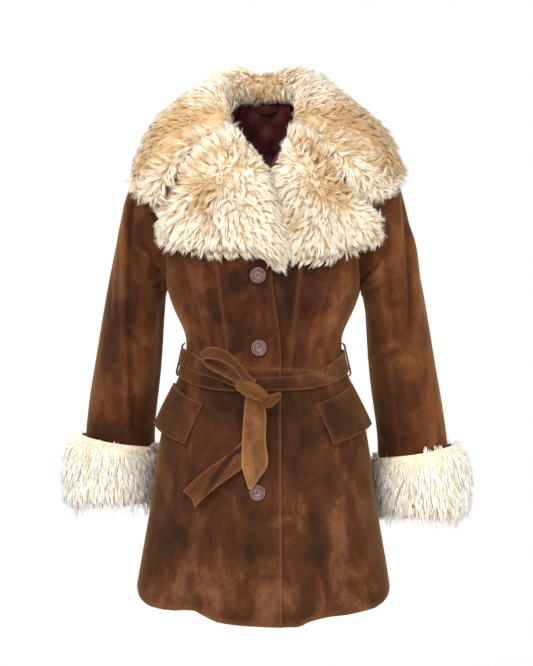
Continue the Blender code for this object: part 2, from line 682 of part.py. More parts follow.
def drape_base(x, z):
    """The front of the body, and a straight drape from there over the front of the sleeve."""
    def depth(across):
        return -body_base(ring_angle(across, z), z).y

    span = clamp((abs(x) - DRAPE_START) / (DRAPE_END_X - DRAPE_START))
    straight = mix(depth(DRAPE_START) + LIE_GAP, DRAPE_END_DEPTH, span) if span > 0 else 0.0
    return Vector((x, -max(depth(x), straight), z))


def make_lapel(name, outline, lifted):
    outer, inner = [], []
    top_outer, top_inner = Vector(outline["outer"][0]), Vector(outline["inner"][0])
    low_outer, low_inner = Vector(outline["outer"][-1]), Vector(outline["inner"][-1])
    width = (Vector(outline["outer"][2]) - Vector(outline["inner"][3])).length
    length = (top_outer - low_outer).length
    for v in shares(LAPEL_CELLS):
        outer.append([])
        inner.append([])
        for c in shares(LAPEL_CELLS):
            sides = along(outline["outer"], v).lerp(along(outline["inner"], v), c)
            ends = top_outer.lerp(top_inner, c).lerp(along(outline["bottom"], c), v)
            corners = top_outer.lerp(top_inner, c).lerp(low_outer.lerp(low_inner, c), v)
            x, z = sides + ends - corners
            snug = mix(LAPEL_SNUG, 1.0, ease(SNUG_UNTIL, SNUG_OFF, v))
            edge = min(c * width * snug, (1 - c) * width, v * length * LAPEL_SNUG, (1 - v) * length)
            fill = clamp(edge / LAPEL_ROUNDING)
            fur = LAPEL_EDGE + LAPEL_FUR * math.sqrt(1 - (1 - fill) ** 2)
            normal = normal_of(drape_base, x, z, DRAPE_PROBE, DRAPE_PROBE)
            lie = LAPEL_GAP + LAPEL_TOP_GAP * ease(TOP_GAP_FROM, TOP_GAP_FULL, z)
            lie += overlap_lift(x) if lifted else 0.0
            outer[-1].append(drape_base(x, z) + normal * (lie + fur))
            inner[-1].append(drape_base(x, z) + normal * lie)
    wall(name, outer, inner, FUR)


# Pocket flaps

def make_flap(side, sign):
    corners = FLAP_CORNERS
    outer, inner = [], []
    for v in shares(FLAP_ROWS):
        outer.append([])
        inner.append([])
        for c in shares(FLAP_COLUMNS):
            top_angle = mix(corners["outer_top"].angle, corners["inner_top"].angle, c)
            low_angle = mix(corners["outer_bottom"].angle, corners["inner_bottom"].angle, c)
            top_z = mix(corners["outer_top"].z, corners["inner_top"].z, c)
            low_z = mix(corners["outer_bottom"].z, corners["inner_bottom"].z, c)
            angle = sign * math.radians(mix(top_angle, low_angle, v))
            z = mix(top_z, low_z, v)
            out = LIE_GAP + FLAP_STAND_OUT * v * mix(1.0, FLAP_INNER_SHARE, c)
            outer[-1].append(body_point(angle, z, out + FLAP_WALL))
            inner[-1].append(body_point(angle, z, out))
    wall(f"pocket_flap_{side}", outer, inner, SUEDE)


# Tie belt

def belt_run(name, angles, centre, half, out):
    """A stretch of belt round the body; its middle, half width and stand-off go by angle."""
    outer, inner = [], []
    for angle in angles:
        levels = [centre(angle) + half(angle) * across for across in BELT_LEVELS]
        outer.append([body_point(angle, z, out(angle) + BELT_WALL) for z in levels])
        inner.append([body_point(angle, z, out(angle)) for z in levels])
    wall(name, outer, inner, SUEDE)


def make_belt_runs():
    joint = BELT_BACK_JOINT
    back = [mix(joint, 2 * math.pi - joint, share) for share in shares(BELT_BACK_CELLS)]
    belt_run("belt_back", back,
             lambda a: mix(BELT_JOIN_Z, BELT_BACK_Z, math.sin(a - math.pi / 2) ** 2),
             lambda a: BELT_SIDE_HALF, lambda a: BELT_GAP)
    reach = KNOT_SIZE[0] / 2 + KNOT_GAP
    for side, sign in (("right", -1), ("left", 1)):
        last = ring_angle(KNOT_CENTRE[0] + sign * reach, BELT_KNOT_Z)
        first = sign * BELT_FRONT_JOINT

        def travel(angle, first=first, last=last):
            return (angle - first) / (last - first)

        def stand_off(angle, sign=sign, travel=travel):
            x = half_width(BELT_KNOT_Z) * math.sin(angle)
            step = overlap_lift(x)
            if sign > 0:
                step = OVERLAP_LIFT * (1 - ease(BELT_STEP_FROM, BELT_STEP_TO, x))
            return BELT_GAP + step + BELT_KNOT_RISE * ease(KNOT_RISE_FROM, 1.0, travel(angle))

        def middle(angle, travel=travel):
            drop = ease(BELT_SLOPE_FROM, BELT_SLOPE_TO, travel(angle))
            return mix(BELT_SIDE_Z, BELT_KNOT_Z, drop)

        def half(angle, travel=travel):
            narrowing = ease(BELT_NARROWS_FROM, 1.0, travel(angle))
            return mix(BELT_SIDE_HALF, BELT_KNOT_HALF, narrowing)

        angles = [mix(first, last, share) for share in shares(BELT_FRONT_CELLS)]
        belt_run(f"belt_front_{side}", angles, middle, half, stand_off)


def make_belt_loops():
    half_turn = 0.5 * BELT_LOOP_WIDTH / half_width(BELT_SIDE_Z)
    for side, sign in (("right", -1), ("left", 1)):
        angles = [sign * (BELT_LOOP_ANGLE + half_turn * across) for across in (-1, 1)]
        profile = list(zip(BELT_LOOP_Z, BELT_LOOP_OUT))
        outer = [[body_point(angle, z, out) for angle in angles] for z, out in profile]
        inner = [[body_point(angle, z, out - BELT_LOOP_WALL) for angle in angles] for z, out in profile]
        wall(f"belt_loop_{side}", outer, inner, SUEDE)


def make_knot():
    shape = bmesh.new()
    bmesh.ops.create_cube(shape, size=1.0)
    bmesh.ops.bevel(shape, geom=shape.edges[:], offset=KNOT_BEVEL, segments=KNOT_SEGMENTS,
                    profile=KNOT_PROFILE, affect="EDGES")
    bmesh.ops.scale(shape, vec=KNOT_SIZE, verts=shape.verts)
    bmesh.ops.recalc_face_normals(shape, faces=shape.faces)
    mesh = bpy.data.meshes.new("belt_knot")
    shape.to_mesh(mesh)
    shape.free()
    mesh.shade_smooth()
    new_object("belt_knot", mesh, SUEDE).location = KNOT_CENTRE


def make_bow_loop():
    """One loop of the bow: a band bent round on itself, its width running away from the front."""
    across = Vector(BOW_HALF_WIDTH)
    outer, inner = [], []
    for share in shares(BOW_CELLS):
        here = along(BOW_PATH, share)
        tangent = along(BOW_PATH, share + PATH_STEP) - along(BOW_PATH, share - PATH_STEP)
        side = tangent.cross(across).normalized() * BOW_WALL / 2
        edges = [here + across * reach for reach in (-1.0, 0.0, 1.0)]
        outer.append([point + side for point in edges])
        inner.append([point - side for point in edges])
    wall("belt_bow_loop", outer, inner, SUEDE)


def make_belt_ends():
    outer, inner = [], []
    for share in shares(BELT_END_ROWS):
        z = mix(HANGING_END[0].z, HANGING_END[-1].z, share)
        rows = HANGING_END[::-1]
        left, right = read(rows, z, "left_x"), read(rows, z, "right_x")
        out = read(rows, z, "out")
        spots = [mix(left, right, c) for c in shares(HANGING_COLUMNS)]
        outer.append([front_point(x, z, out + BELT_WALL) for x in spots])
        inner.append([front_point(x, z, out) for x in spots])
    wall("belt_hanging_end", outer, inner, SUEDE)

    outer, inner = [], []
    for share in shares(BELT_END_ROWS):
        here = along(CURLED_PATH, share)
        ahead = along(CURLED_PATH, share + PATH_STEP) - along(CURLED_PATH, share - PATH_STEP)
        cross = Vector((-ahead.y, ahead.x)).normalized() * CURLED_HALF_WIDTH
        curl = CURL_HEIGHT * ease(CURL_FROM, CURL_FULL, share)
        outer.append([])
        inner.append([])
        for c in shares(CURLED_COLUMNS):
            reach = 2 * c - 1
            x, z = here + cross * reach
            out = CURLED_GAP + curl * reach * reach
            outer[-1].append(front_point(x, z, out + CURLED_WALL))
            inner[-1].append(front_point(x, z, out))
    wall("belt_curled_end", outer, inner, SUEDE)


# Buttons

def make_buttons():
    for number, place in enumerate(BUTTON_PLACES, start=1):
        shape = bmesh.new()
        bmesh.ops.create_cone(shape, cap_ends=True, segments=BUTTON_SIDES, radius1=BUTTON_RADIUS,
                              radius2=BUTTON_RADIUS, depth=BUTTON_THICKNESS)
        rims = [edge for edge in shape.edges if edge.verts[0].co.z * edge.verts[1].co.z > 0]
        bmesh.ops.bevel(shape, geom=rims, offset=BUTTON_BEVEL, segments=1, affect="EDGES")
        top = max(shape.faces, key=lambda face: face.calc_center_median().z)
        bmesh.ops.inset_region(shape, faces=[top], thickness=BUTTON_RIM)
        bmesh.ops.inset_region(shape, faces=[top], thickness=BUTTON_DISH, depth=-BUTTON_DISH)
        bmesh.ops.recalc_face_normals(shape, faces=shape.faces)
        mesh = bpy.data.meshes.new(f"button_{number}")
        shape.to_mesh(mesh)
        shape.free()
        seat = front_point(BUTTON_X, place.z, place.gap + BUTTON_THICKNESS / 2)
        facing = seat - front_point(BUTTON_X, place.z)
        piece = new_object(f"button_{number}", mesh, BUTTON)
        piece.location = seat
        piece.rotation_euler = facing.to_track_quat("Z", "Y").to_euler()


# Lining and hanger loop

def make_lining():
    depth = WALL + LINING_GAP
    top = NECK_SIDE + NECK_BACK_RISE - LINING_TOP_INSET
    outer, inner = [], []
    for v in shares(LINING_ROWS):
        outer.append([])
        inner.append([])
        for c in shares(LINING_COLUMNS):
            z = mix(LINING_BOTTOM, top, v)
            reach = min(LINING_HALF_WIDTH, LINING_RING_SHARE * half_width(z))
            x = mix(-reach, reach, c)
            z -= (top - LINING_BOTTOM) * LINING_SIDE_DROP * (x / LINING_HALF_WIDTH) ** 2 * v
            angle = math.pi - ring_angle(x, z)
            u, w = x / QUILT_WIDTH, z / QUILT_HEIGHT
            pillow = abs(math.sin(math.pi * (u + w)) * math.sin(math.pi * (u - w)))
            puff = QUILT_PUFF * pillow ** QUILT_FULLNESS
            outer[-1].append(body_point(angle, z, -depth - WALL - puff))
            inner[-1].append(body_point(angle, z, -depth))
    wall("lining_back_neck", outer, inner, LINING)


def make_hanger_loop():
    outer, inner = [], []
    base = body_point(math.pi, HANGER_Z, -2 * WALL - QUILT_PUFF - LIE_GAP * 2)
    for share in shares(HANGER_CELLS):
        reach = 2 * share - 1
        arch = 1 - reach * reach
        place = base + Vector((HANGER_HALF_LENGTH * reach, -HANGER_BOW * arch, -HANGER_SAG * arch))
        edges = [place + Vector((0, 0, HANGER_WIDTH * up)) for up in (-0.5, 0.5)]
        outer.append([edge - Vector((0, HANGER_WALL, 0)) for edge in edges])
        inner.append(edges)
    wall("hanger_loop", outer, inner, SUEDE)


def main():
    for piece in list(bpy.data.objects):
        bpy.data.objects.remove(piece, do_unlink=True)
    right_angle = math.pi / 2
    make_front("right", -1, "top_edge", overlap_lift)
    make_front("left", 1, "under_edge", lambda x: 0.0)
    make_bodice_back()
    make_skirt("skirt_front_right", lambda z: -right_angle, edge_line("top_edge"),
               SKIRT_FRONT_COLUMNS, overlap_lift)
    make_skirt("skirt_front_left", edge_line("under_edge"), lambda z: right_angle,
               SKIRT_FRONT_COLUMNS)
    make_skirt("skirt_back", lambda z: right_angle, lambda z: 3 * right_angle,
               SKIRT_BACK_COLUMNS)
    for side, sign in (("right", -1), ("left", 1)):
        make_sleeve(side, sign)
        make_cuff(side, sign)
        make_flap(side, sign)
    make_collar()
    make_lapel("lapel_right", RIGHT_LAPEL, lifted=True)
    make_lapel("lapel_left", LEFT_LAPEL, lifted=False)
    make_belt_runs()
    make_belt_loops()
    make_knot()
    make_bow_loop()
    make_belt_ends()
    make_buttons()
    make_lining()
    make_hanger_loop()


main()
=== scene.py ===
# %% [markdown]
# # A belted suede coat with a fur collar and fur cuffs
# The coat is shown as it is worn, filled out, with nothing inside it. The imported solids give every
# piece its place and size. Each lesson below takes one kind of piece, such as suede panels, fur or
# buttons, makes the finer surface that the eye sees, and puts it where its solid is.

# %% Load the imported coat
import math
from collections import namedtuple

import bmesh
import bpy
import numpy as np
from mathutils import Matrix, Vector
from mathutils.bvhtree import BVHTree
from mathutils.kdtree import KDTree


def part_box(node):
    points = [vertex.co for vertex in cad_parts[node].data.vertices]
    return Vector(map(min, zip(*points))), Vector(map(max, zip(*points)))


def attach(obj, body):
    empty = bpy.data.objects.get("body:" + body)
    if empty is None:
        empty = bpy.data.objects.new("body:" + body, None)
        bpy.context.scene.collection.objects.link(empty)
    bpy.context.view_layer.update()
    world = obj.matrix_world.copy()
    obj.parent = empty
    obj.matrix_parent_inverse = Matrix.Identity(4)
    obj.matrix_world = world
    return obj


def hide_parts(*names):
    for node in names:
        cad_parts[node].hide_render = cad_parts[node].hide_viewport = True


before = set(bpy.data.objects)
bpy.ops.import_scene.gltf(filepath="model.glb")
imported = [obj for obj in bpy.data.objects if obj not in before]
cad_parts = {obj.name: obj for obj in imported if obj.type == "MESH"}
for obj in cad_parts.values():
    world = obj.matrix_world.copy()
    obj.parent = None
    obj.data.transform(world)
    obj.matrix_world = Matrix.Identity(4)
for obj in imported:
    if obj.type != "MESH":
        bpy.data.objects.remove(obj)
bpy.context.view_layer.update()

SCENE = bpy.context.scene
MM = 0.001

# %% [markdown]
# ## Camera, light and floor
# The coat was photographed from the front, a few degrees to its left, from far enough away that the
# shoulders do not look wide. The lens follows from the distance and from the size that one pixel of
# the picture has on the coat. A white surrounding gives even studio light without hard shadows, and
# two large soft lamps add enough direction to show the folds. The floor lies where the wearer would
# stand, far below the hem.

# %% Camera, light and floor
PICTURE_TALL = 666
PIXEL_ON_COAT = 1.6 * MM
CAMERA_DISTANCE = 2.6
CAMERA_TURN = math.radians(4)
AIM = Vector((0.0045, 0.0, -0.344))
SENSOR = 36.0
FLOOR_Z = -1.45
FLOOR_SIZE = 6.0


def add_lamp(name, place, size, watts):
    """A square soft lamp that faces the coat."""
    turn = (AIM - Vector(place)).to_track_quat("-Z", "Y").to_euler()
    bpy.ops.object.light_add(type="AREA", location=place, rotation=turn)
    lamp = bpy.context.object
    lamp.name = name
    lamp.data.size = size
    lamp.data.energy = watts
    return lamp


bpy.ops.object.select_all(action="DESELECT")
back_off = Vector((math.sin(CAMERA_TURN), -math.cos(CAMERA_TURN), 0.0)) * CAMERA_DISTANCE
bpy.ops.object.camera_add(location=AIM + back_off, rotation=(math.pi / 2, 0.0, CAMERA_TURN))
camera = bpy.context.object
camera.data.sensor_width = SENSOR
camera.data.lens = SENSOR * CAMERA_DISTANCE / (PICTURE_TALL * PIXEL_ON_COAT)
SCENE.camera = camera
SCENE.view_settings.view_transform = "Standard"

SCENE.world = bpy.data.worlds.new("white_studio")
SCENE.world.use_nodes = True
SCENE.world.node_tree.nodes["Background"].inputs["Color"].default_value = (1.0, 1.0, 1.0, 1.0)
SCENE.world.node_tree.nodes["Background"].inputs["Strength"].default_value = 1.0
add_lamp("key_lamp", (-1.1, -2.2, 1.1), 1.4, 56.0)
add_lamp("fill_lamp", (1.6, -2.0, 0.2), 1.6, 28.0)

bpy.ops.mesh.primitive_plane_add(size=FLOOR_SIZE, location=(0.0, 0.0, FLOOR_Z))
floor = bpy.context.object
floor.name = "pale_floor"
print("lens", round(camera.data.lens, 1), "mm")

# %% [markdown]
# ## Colours and nodes
# Colours are written as the hex values a picture editor shows. Shaders work with linear light, so
# one function turns the one into the other. A second small function adds a node, sets its values
# and links its inputs, so that each finish below reads as a short list of what it is made of. What is
# the same all over a finish, such as its roughness, is set on the shader itself. The floor is matt
# paint, which scatters light evenly and shows no reflection of the coat.

# %% Colours and nodes
def linear(hex_colour):
    """An sRGB hex colour as linear red, green, blue and alpha."""
    parts = [int(hex_colour[i:i + 2], 16) / 255 for i in (1, 3, 5)]
    return tuple(p / 12.92 if p <= 0.04045 else ((p + 0.055) / 1.055) ** 2.4 for p in parts) + (1.0,)


def add_node(tree, kind, settings=(), **inputs):
    """A node with its settings and a ramp's stops; an input is a value, or another node's output."""
    node = tree.nodes.new(kind)
    for name, value in dict(settings).items():
        if name != "stops":
            setattr(node, name, value)
            continue
        elements = node.color_ramp.elements
        while len(elements) < len(value):
            elements.new(0.5)
        for element, (place, hex_colour) in zip(elements, value.items()):
            element.position = place
            element.color = linear(hex_colour)
    for name, value in inputs.items():
        key = int(name[1:]) if name[0] == "_" and name[1:].isdigit() else name.replace("_", " ")
        socket = node.inputs[key]
        if isinstance(value, bpy.types.NodeSocket):
            tree.links.new(value, socket)
        else:
            socket.default_value = value
    return node


def new_finish(name, **constants):
    """A named material with its tree and its main shader, with constants set on the shader's sockets."""
    material = bpy.data.materials.new(name)
    material.use_nodes = True
    shader = material.node_tree.nodes["Principled BSDF"]
    for socket, value in constants.items():
        shader.inputs[socket.replace("_", " ")].default_value = value
    return material, material.node_tree, shader


floor_paint = new_finish("matt_white_floor_paint", Base_Color=linear("#F7F6F4"), Roughness=0.9)[0]
floor.data.materials.append(floor_paint)
print("finishes so far:", len(bpy.data.materials))

# %% [markdown]
# ## Suede
# Suede is the inner side of a hide, sanded until short fibres stand up as a nap. Stroking the nap
# one way or the other makes it look light or dark, so the coat has soft cloudy patches the size of
# a hand and smaller. Edges that rub go pale. The nap catches light at glancing angles, which is
# what sheen is for. The patches here come from noise whose scale follows from a patch's real size,
# stretched a little up and down as hands stroke it.

# %% Suede finishes
PATCH, SMALL_PATCH, FIBRE_GROUP = 95 * MM, 26 * MM, 2.4 * MM
NAP_STRETCH = (1.0, 1.0, 0.62)
WANDER_SHARE, SMALL_SHARE, FIBRE_SHARE, FOLD_SHADE_SHARE, RUB_SHARE = 0.06, 0.40, 0.17, 0.06, 0.62
CLOUDY, EVEN = (0.38, 0.46, 0.54, 0.63), (0.34, 0.46, 0.56, 0.68)


def make_suede(name, places, colours, rubbed, patch_offset):
    """Napped hide; fibre groups are drawn coarser than real fibres so that they show."""
    material, tree, shader = new_finish(
        name, Roughness=0.95, Specular_IOR_Level=0.15, Sheen_Weight=0.55, Sheen_Roughness=0.45,
        Sheen_Tint=linear("#B58250"))
    place = add_node(tree, "ShaderNodeTexCoord").outputs["Object"]
    place = add_node(tree, "ShaderNodeMapping", Vector=place, Location=patch_offset,
                     Scale=NAP_STRETCH).outputs["Vector"]
    wander = add_node(tree, "ShaderNodeTexNoise", Vector=place, Scale=1 / (0.9 * PATCH), Detail=2.0)
    bent = add_node(tree, "ShaderNodeMix", {"data_type": "VECTOR"}, Factor=WANDER_SHARE, _4=place,
                    _5=wander.outputs["Color"]).outputs[1]
    cloud = add_node(tree, "ShaderNodeTexNoise", Vector=bent, Scale=1 / PATCH, Detail=3.0,
                     Roughness=0.5).outputs["Fac"]
    small = add_node(tree, "ShaderNodeTexNoise", Vector=bent, Scale=1 / SMALL_PATCH, Detail=4.0,
                     Roughness=0.55).outputs["Fac"]
    fibre = add_node(tree, "ShaderNodeTexNoise", Vector=place, Scale=1 / FIBRE_GROUP, Detail=3.0,
                     Roughness=0.7).outputs["Fac"]
    tone = add_node(tree, "ShaderNodeMix", Factor=SMALL_SHARE, _2=cloud, _3=small).outputs[0]
    tone = add_node(tree, "ShaderNodeMix", Factor=FIBRE_SHARE, _2=tone, _3=fibre).outputs[0]
    # fold is painted light: the suede is darker in each crease trough as painted shade and lighter on its lip
    # as a painted highlight.
    fold = add_node(tree, "ShaderNodeAttribute", {"attribute_name": "fold"}).outputs["Fac"]
    tone = add_node(tree, "ShaderNodeMath", {"operation": "MULTIPLY_ADD"}, _0=fold, _1=FOLD_SHADE_SHARE,
                    _2=tone).outputs[0]
    stops = dict(zip(places, colours.split()))
    ramp = add_node(tree, "ShaderNodeValToRGB", {"stops": stops}, Fac=tone).outputs["Color"]
    rub = add_node(tree, "ShaderNodeAttribute", {"attribute_name": "rub"}).outputs["Fac"]
    rub = add_node(tree, "ShaderNodeMath", {"operation": "MULTIPLY"}, _0=rub, _1=RUB_SHARE).outputs[0]
    colour = add_node(tree, "ShaderNodeMix", {"data_type": "RGBA"}, Factor=rub, _6=ramp,
                      _7=linear(rubbed)).outputs[2]
    tree.links.new(colour, shader.inputs["Base Color"])
    hills = add_node(tree, "ShaderNodeBump", Strength=0.35, Distance=1.2 * MM, Height=small)
    nap = add_node(tree, "ShaderNodeBump", Strength=0.5, Distance=0.5 * MM, Height=fibre,
                   Normal=hills.outputs["Normal"])
    tree.links.new(nap.outputs["Normal"], shader.inputs["Normal"])
    return material


suede = make_suede("napped_suede", CLOUDY, "#231006 #341A0A #462511 #664127", "#6E4427", (0.3, 0.1, 0.7))
bodice_suede = make_suede("napped_suede_of_the_bodice", CLOUDY, "#220C04 #3C1C0B #562E16 #6F472A",
                          "#6E4427", (3.1, 0.6, 1.9))
sleeve_suede = make_suede("napped_suede_of_the_sleeves", CLOUDY, "#261005 #3A1C0A #4D2910 #663D1F",
                          "#6C4326", (1.7, 0.4, 0.2))
belt_suede = make_suede("napped_suede_of_the_belt", EVEN, "#3A2210 #5A371E #744C2D #8E6242",
                        "#95693F", (0.9, 1.2, 2.1))
bow_suede = make_suede("napped_suede_of_the_bow", EVEN, "#2C170A #452612 #59331A #704529",
                       "#7F5430", (2.3, 0.2, 1.1))
# Darker suede: inside the curled belt end it is painted shade in the hollow of the roll, and the hanger loop
# inside the neck is made of it too.
dark_suede_and_shade = make_suede("napped_suede_of_the_belt_inside", EVEN, "#1C0D05 #2C170A #3A2010 #4C2D18",
                         "#6E4427", (2.9, 0.7, 0.4))
print("suede finishes:", [finish.name for finish in bpy.data.materials if "suede" in finish.name])

# %% [markdown]
# ## Suede panels
# The coat is cut from flat panels that are sewn into a shell about two millimetres thick. The solids
# already have that shell, in coarse facets. A copy of each is merged and turned back into quads, its
# cut edges are creased, and a subdivision surface rounds the rest. A sculpted mesh would need many
# more faces, and a cloth simulation would lose the worn shape, so this keeps both the cut and the fit.

# %% Panels from the solids
MERGE = 0.01 * MM
CUT_EDGE = math.radians(50)


def select_only(piece):
    """Makes one piece the selected and the active one."""
    bpy.ops.object.select_all(action="DESELECT")
    piece.select_set(True)
    bpy.context.view_layer.objects.active = piece


def add_piece(name, mesh):
    """A new piece of the scene."""
    piece = bpy.data.objects.new(name, mesh)
    SCENE.collection.objects.link(piece)
    return piece


def copy_in_quads(node, name):
    """A new piece with a solid's mesh, merged and in quads."""
    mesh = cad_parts[node].data.copy()
    mesh.name = name
    mesh.materials.clear()
    piece = add_piece(name, mesh)
    select_only(piece)
    bpy.ops.object.mode_set(mode="EDIT")
    bpy.ops.mesh.select_all(action="SELECT")
    bpy.ops.mesh.customdata_custom_splitnormals_clear()
    bpy.ops.mesh.remove_doubles(threshold=MERGE)
    bpy.ops.mesh.tris_convert_to_quads(face_threshold=math.radians(60), shape_threshold=math.radians(90))
    bpy.ops.object.mode_set(mode="OBJECT")
    return piece


def crease_cut_edges(piece):
    """Keeps the cut edges of a panel sharp when it is subdivided."""
    select_only(piece)
    bpy.ops.object.mode_set(mode="EDIT")
    bpy.ops.mesh.select_mode(type="EDGE")
    bpy.ops.mesh.select_all(action="DESELECT")
    bpy.ops.mesh.edges_select_sharp(sharpness=CUT_EDGE)
    bpy.ops.transform.edge_crease(value=1.0)
    bpy.ops.object.mode_set(mode="OBJECT")


def soften(piece, levels):
    """Applies a subdivision surface."""
    select_only(piece)
    rounding = piece.modifiers.new("soften", "SUBSURF")
    rounding.levels = rounding.render_levels = levels
    bpy.ops.object.modifier_apply(modifier=rounding.name)


def points_of(piece):
    """The places of a piece's vertices, one row each."""
    values = np.empty(3 * len(piece.data.vertices))
    piece.data.vertices.foreach_get("co", values)
    return values.reshape(-1, 3)


def set_points(piece, points):
    """Moves a piece's vertices."""
    piece.data.vertices.foreach_set("co", points.ravel())
    piece.data.update()


Panel = namedtuple("Panel", "levels rub finish slot")
PANELS = {}
# A panel that is alone has one amount of rubbing, and a pair has the right one's and then the left one's.
for stem, finish, levels, *rubs in (
        ("bodice_front_centre", bodice_suede, 2, 0.7, 0.6),
        ("bodice_front_middle", bodice_suede, 2, 0.4, 0.4),
        ("bodice_front_side", bodice_suede, 2, 0.4, 0.4), ("bodice_back", bodice_suede, 2, 0.3),
        ("skirt_front", suede, 2, 0.8, 0.6), ("skirt_back", suede, 2, 0.4),
        ("sleeve_top", sleeve_suede, 3, 0.2, 0.2), ("sleeve_under", sleeve_suede, 2, 0.2, 0.2),
        ("pocket_flap", suede, 2, 0.6, 0.6), ("belt_back", suede, 2, 0.6), ("belt_front", suede, 2, 0.6, 0.6),
        ("belt_hanging_end", belt_suede, 2, 0.8), ("belt_curled_end", bow_suede, 2, 0.7),
        ("belt_loop", suede, 2, 0.1, 0.1), ("hanger_loop", dark_suede_and_shade, 2, 0.2)):
    for side, rub in zip(("_right", "_left") if len(rubs) == 2 else ("",), rubs):
        slot = "sleeve_suede" if stem.startswith("sleeve") else "suede"
        PANELS[stem + side] = Panel(levels, rub, finish, slot)
panels = {}
for node, row in PANELS.items():
    panels[node] = copy_in_quads(node, node + "_shell")
    crease_cut_edges(panels[node])
    soften(panels[node], row.levels)
print(len(panels), "panels with", sum(len(p.data.polygons) for p in panels.values()), "faces")

# %% [markdown]
# ## Creases
# Worn suede keeps its folds: a long one down each sleeve, short ones that fan out from the armpit,
# and drag lines where the belt pulls the waist in. Each is given as a line on the front or
# the back, in millimetres, with its own depth and width. A fold is a trough with a raised lip on one
# side. Every vertex near the line moves along the same outward direction on both faces of the
# cloth, so the cloth keeps its thickness. A sculpt brush would do the same, but not the same twice.

# %% The crease tool
def line_distance(points, line):
    """Signed distance to a line as seen from the front, how far along it, 0 to 1, and the way to it."""
    points, line = points[:, [0, 2]], np.array(line) * MM
    nearest = np.full(len(points), np.inf)
    along = np.zeros(len(points))
    side = np.ones(len(points))
    way = np.zeros((len(points), 2))
    for i in range(len(line) - 1):
        step = line[i + 1] - line[i]
        part = np.clip((points - line[i]) @ step / (step @ step), 0.0, 1.0)
        away = points - (line[i] + part[:, None] * step)
        distance = np.linalg.norm(away, axis=1)
        closer = distance < nearest
        nearest[closer] = distance[closer]
        along[closer] = (i + part[closer]) / (len(line) - 1)
        side[closer] = np.sign(step[0] * away[closer, 1] - step[1] * away[closer, 0])
        way[closer] = -away[closer] / (distance[closer, None] + 1e-9)
    return nearest * side, along, way


def smooth_step(values, low, high):
    """Rises softly from 0 at low to 1 at high."""
    part = np.clip((values - low) / (high - low), 0.0, 1.0)
    return part * part * (3 - 2 * part)


def tube_axis(pieces):
    """The middle line of a tube of panels, as two curves of the height."""
    points = np.vstack([points_of(piece) for piece in pieces])
    return np.polyfit(points[:, 2], points[:, 0], 2), np.polyfit(points[:, 2], points[:, 1], 2)


Crease = namedtuple("Crease", "depth width lip line")
LIP_PLACE, LIP_WIDTH = 1.9, 1.4
FADE = 0.22


def store(mesh, name, values):
    """Stores a value at each vertex, which a finish can read."""
    mesh.attributes.new(name, "FLOAT", "POINT").data.foreach_set("value", values)


def press_creases(piece, axis, creases):
    """Moves a panel in and out along its creases, and stores fold: painted shade in each trough and a painted
    highlight on its lip.
    """
    points = points_of(piece)
    middle = np.stack([np.polyval(axis[0], points[:, 2]), np.polyval(axis[1], points[:, 2])], axis=1)
    outward = points[:, :2] - middle
    outward /= np.linalg.norm(outward, axis=1)[:, None] + 1e-9
    push, fold = np.zeros(len(points)), np.zeros(len(points))
    for face, crease in creases:
        signed, along, _ = line_distance(points, crease.line)
        width = crease.width * MM
        shape = -np.exp(-(signed / width) ** 2)
        from_lip = signed * np.sign(crease.lip) - LIP_PLACE * width
        shape += abs(crease.lip) * np.exp(-(from_lip / (LIP_WIDTH * width)) ** 2)
        fade = smooth_step(along, 0.0, FADE) * smooth_step(1 - along, 0.0, FADE)
        facing = smooth_step(outward[:, 1] * face, 0.0, 0.35)
        push += crease.depth * MM * shape * fade * facing
        # fold: painted shade in the trough, painted highlight on the lip.
        fold += min(crease.depth / 4, 1.2) * shape * fade * facing
    points[:, :2] += outward * push[:, None]
    set_points(piece, points)
    store(piece.data, "fold", fold)


FRONT, BACK = -1, 1
print("crease tool ready")

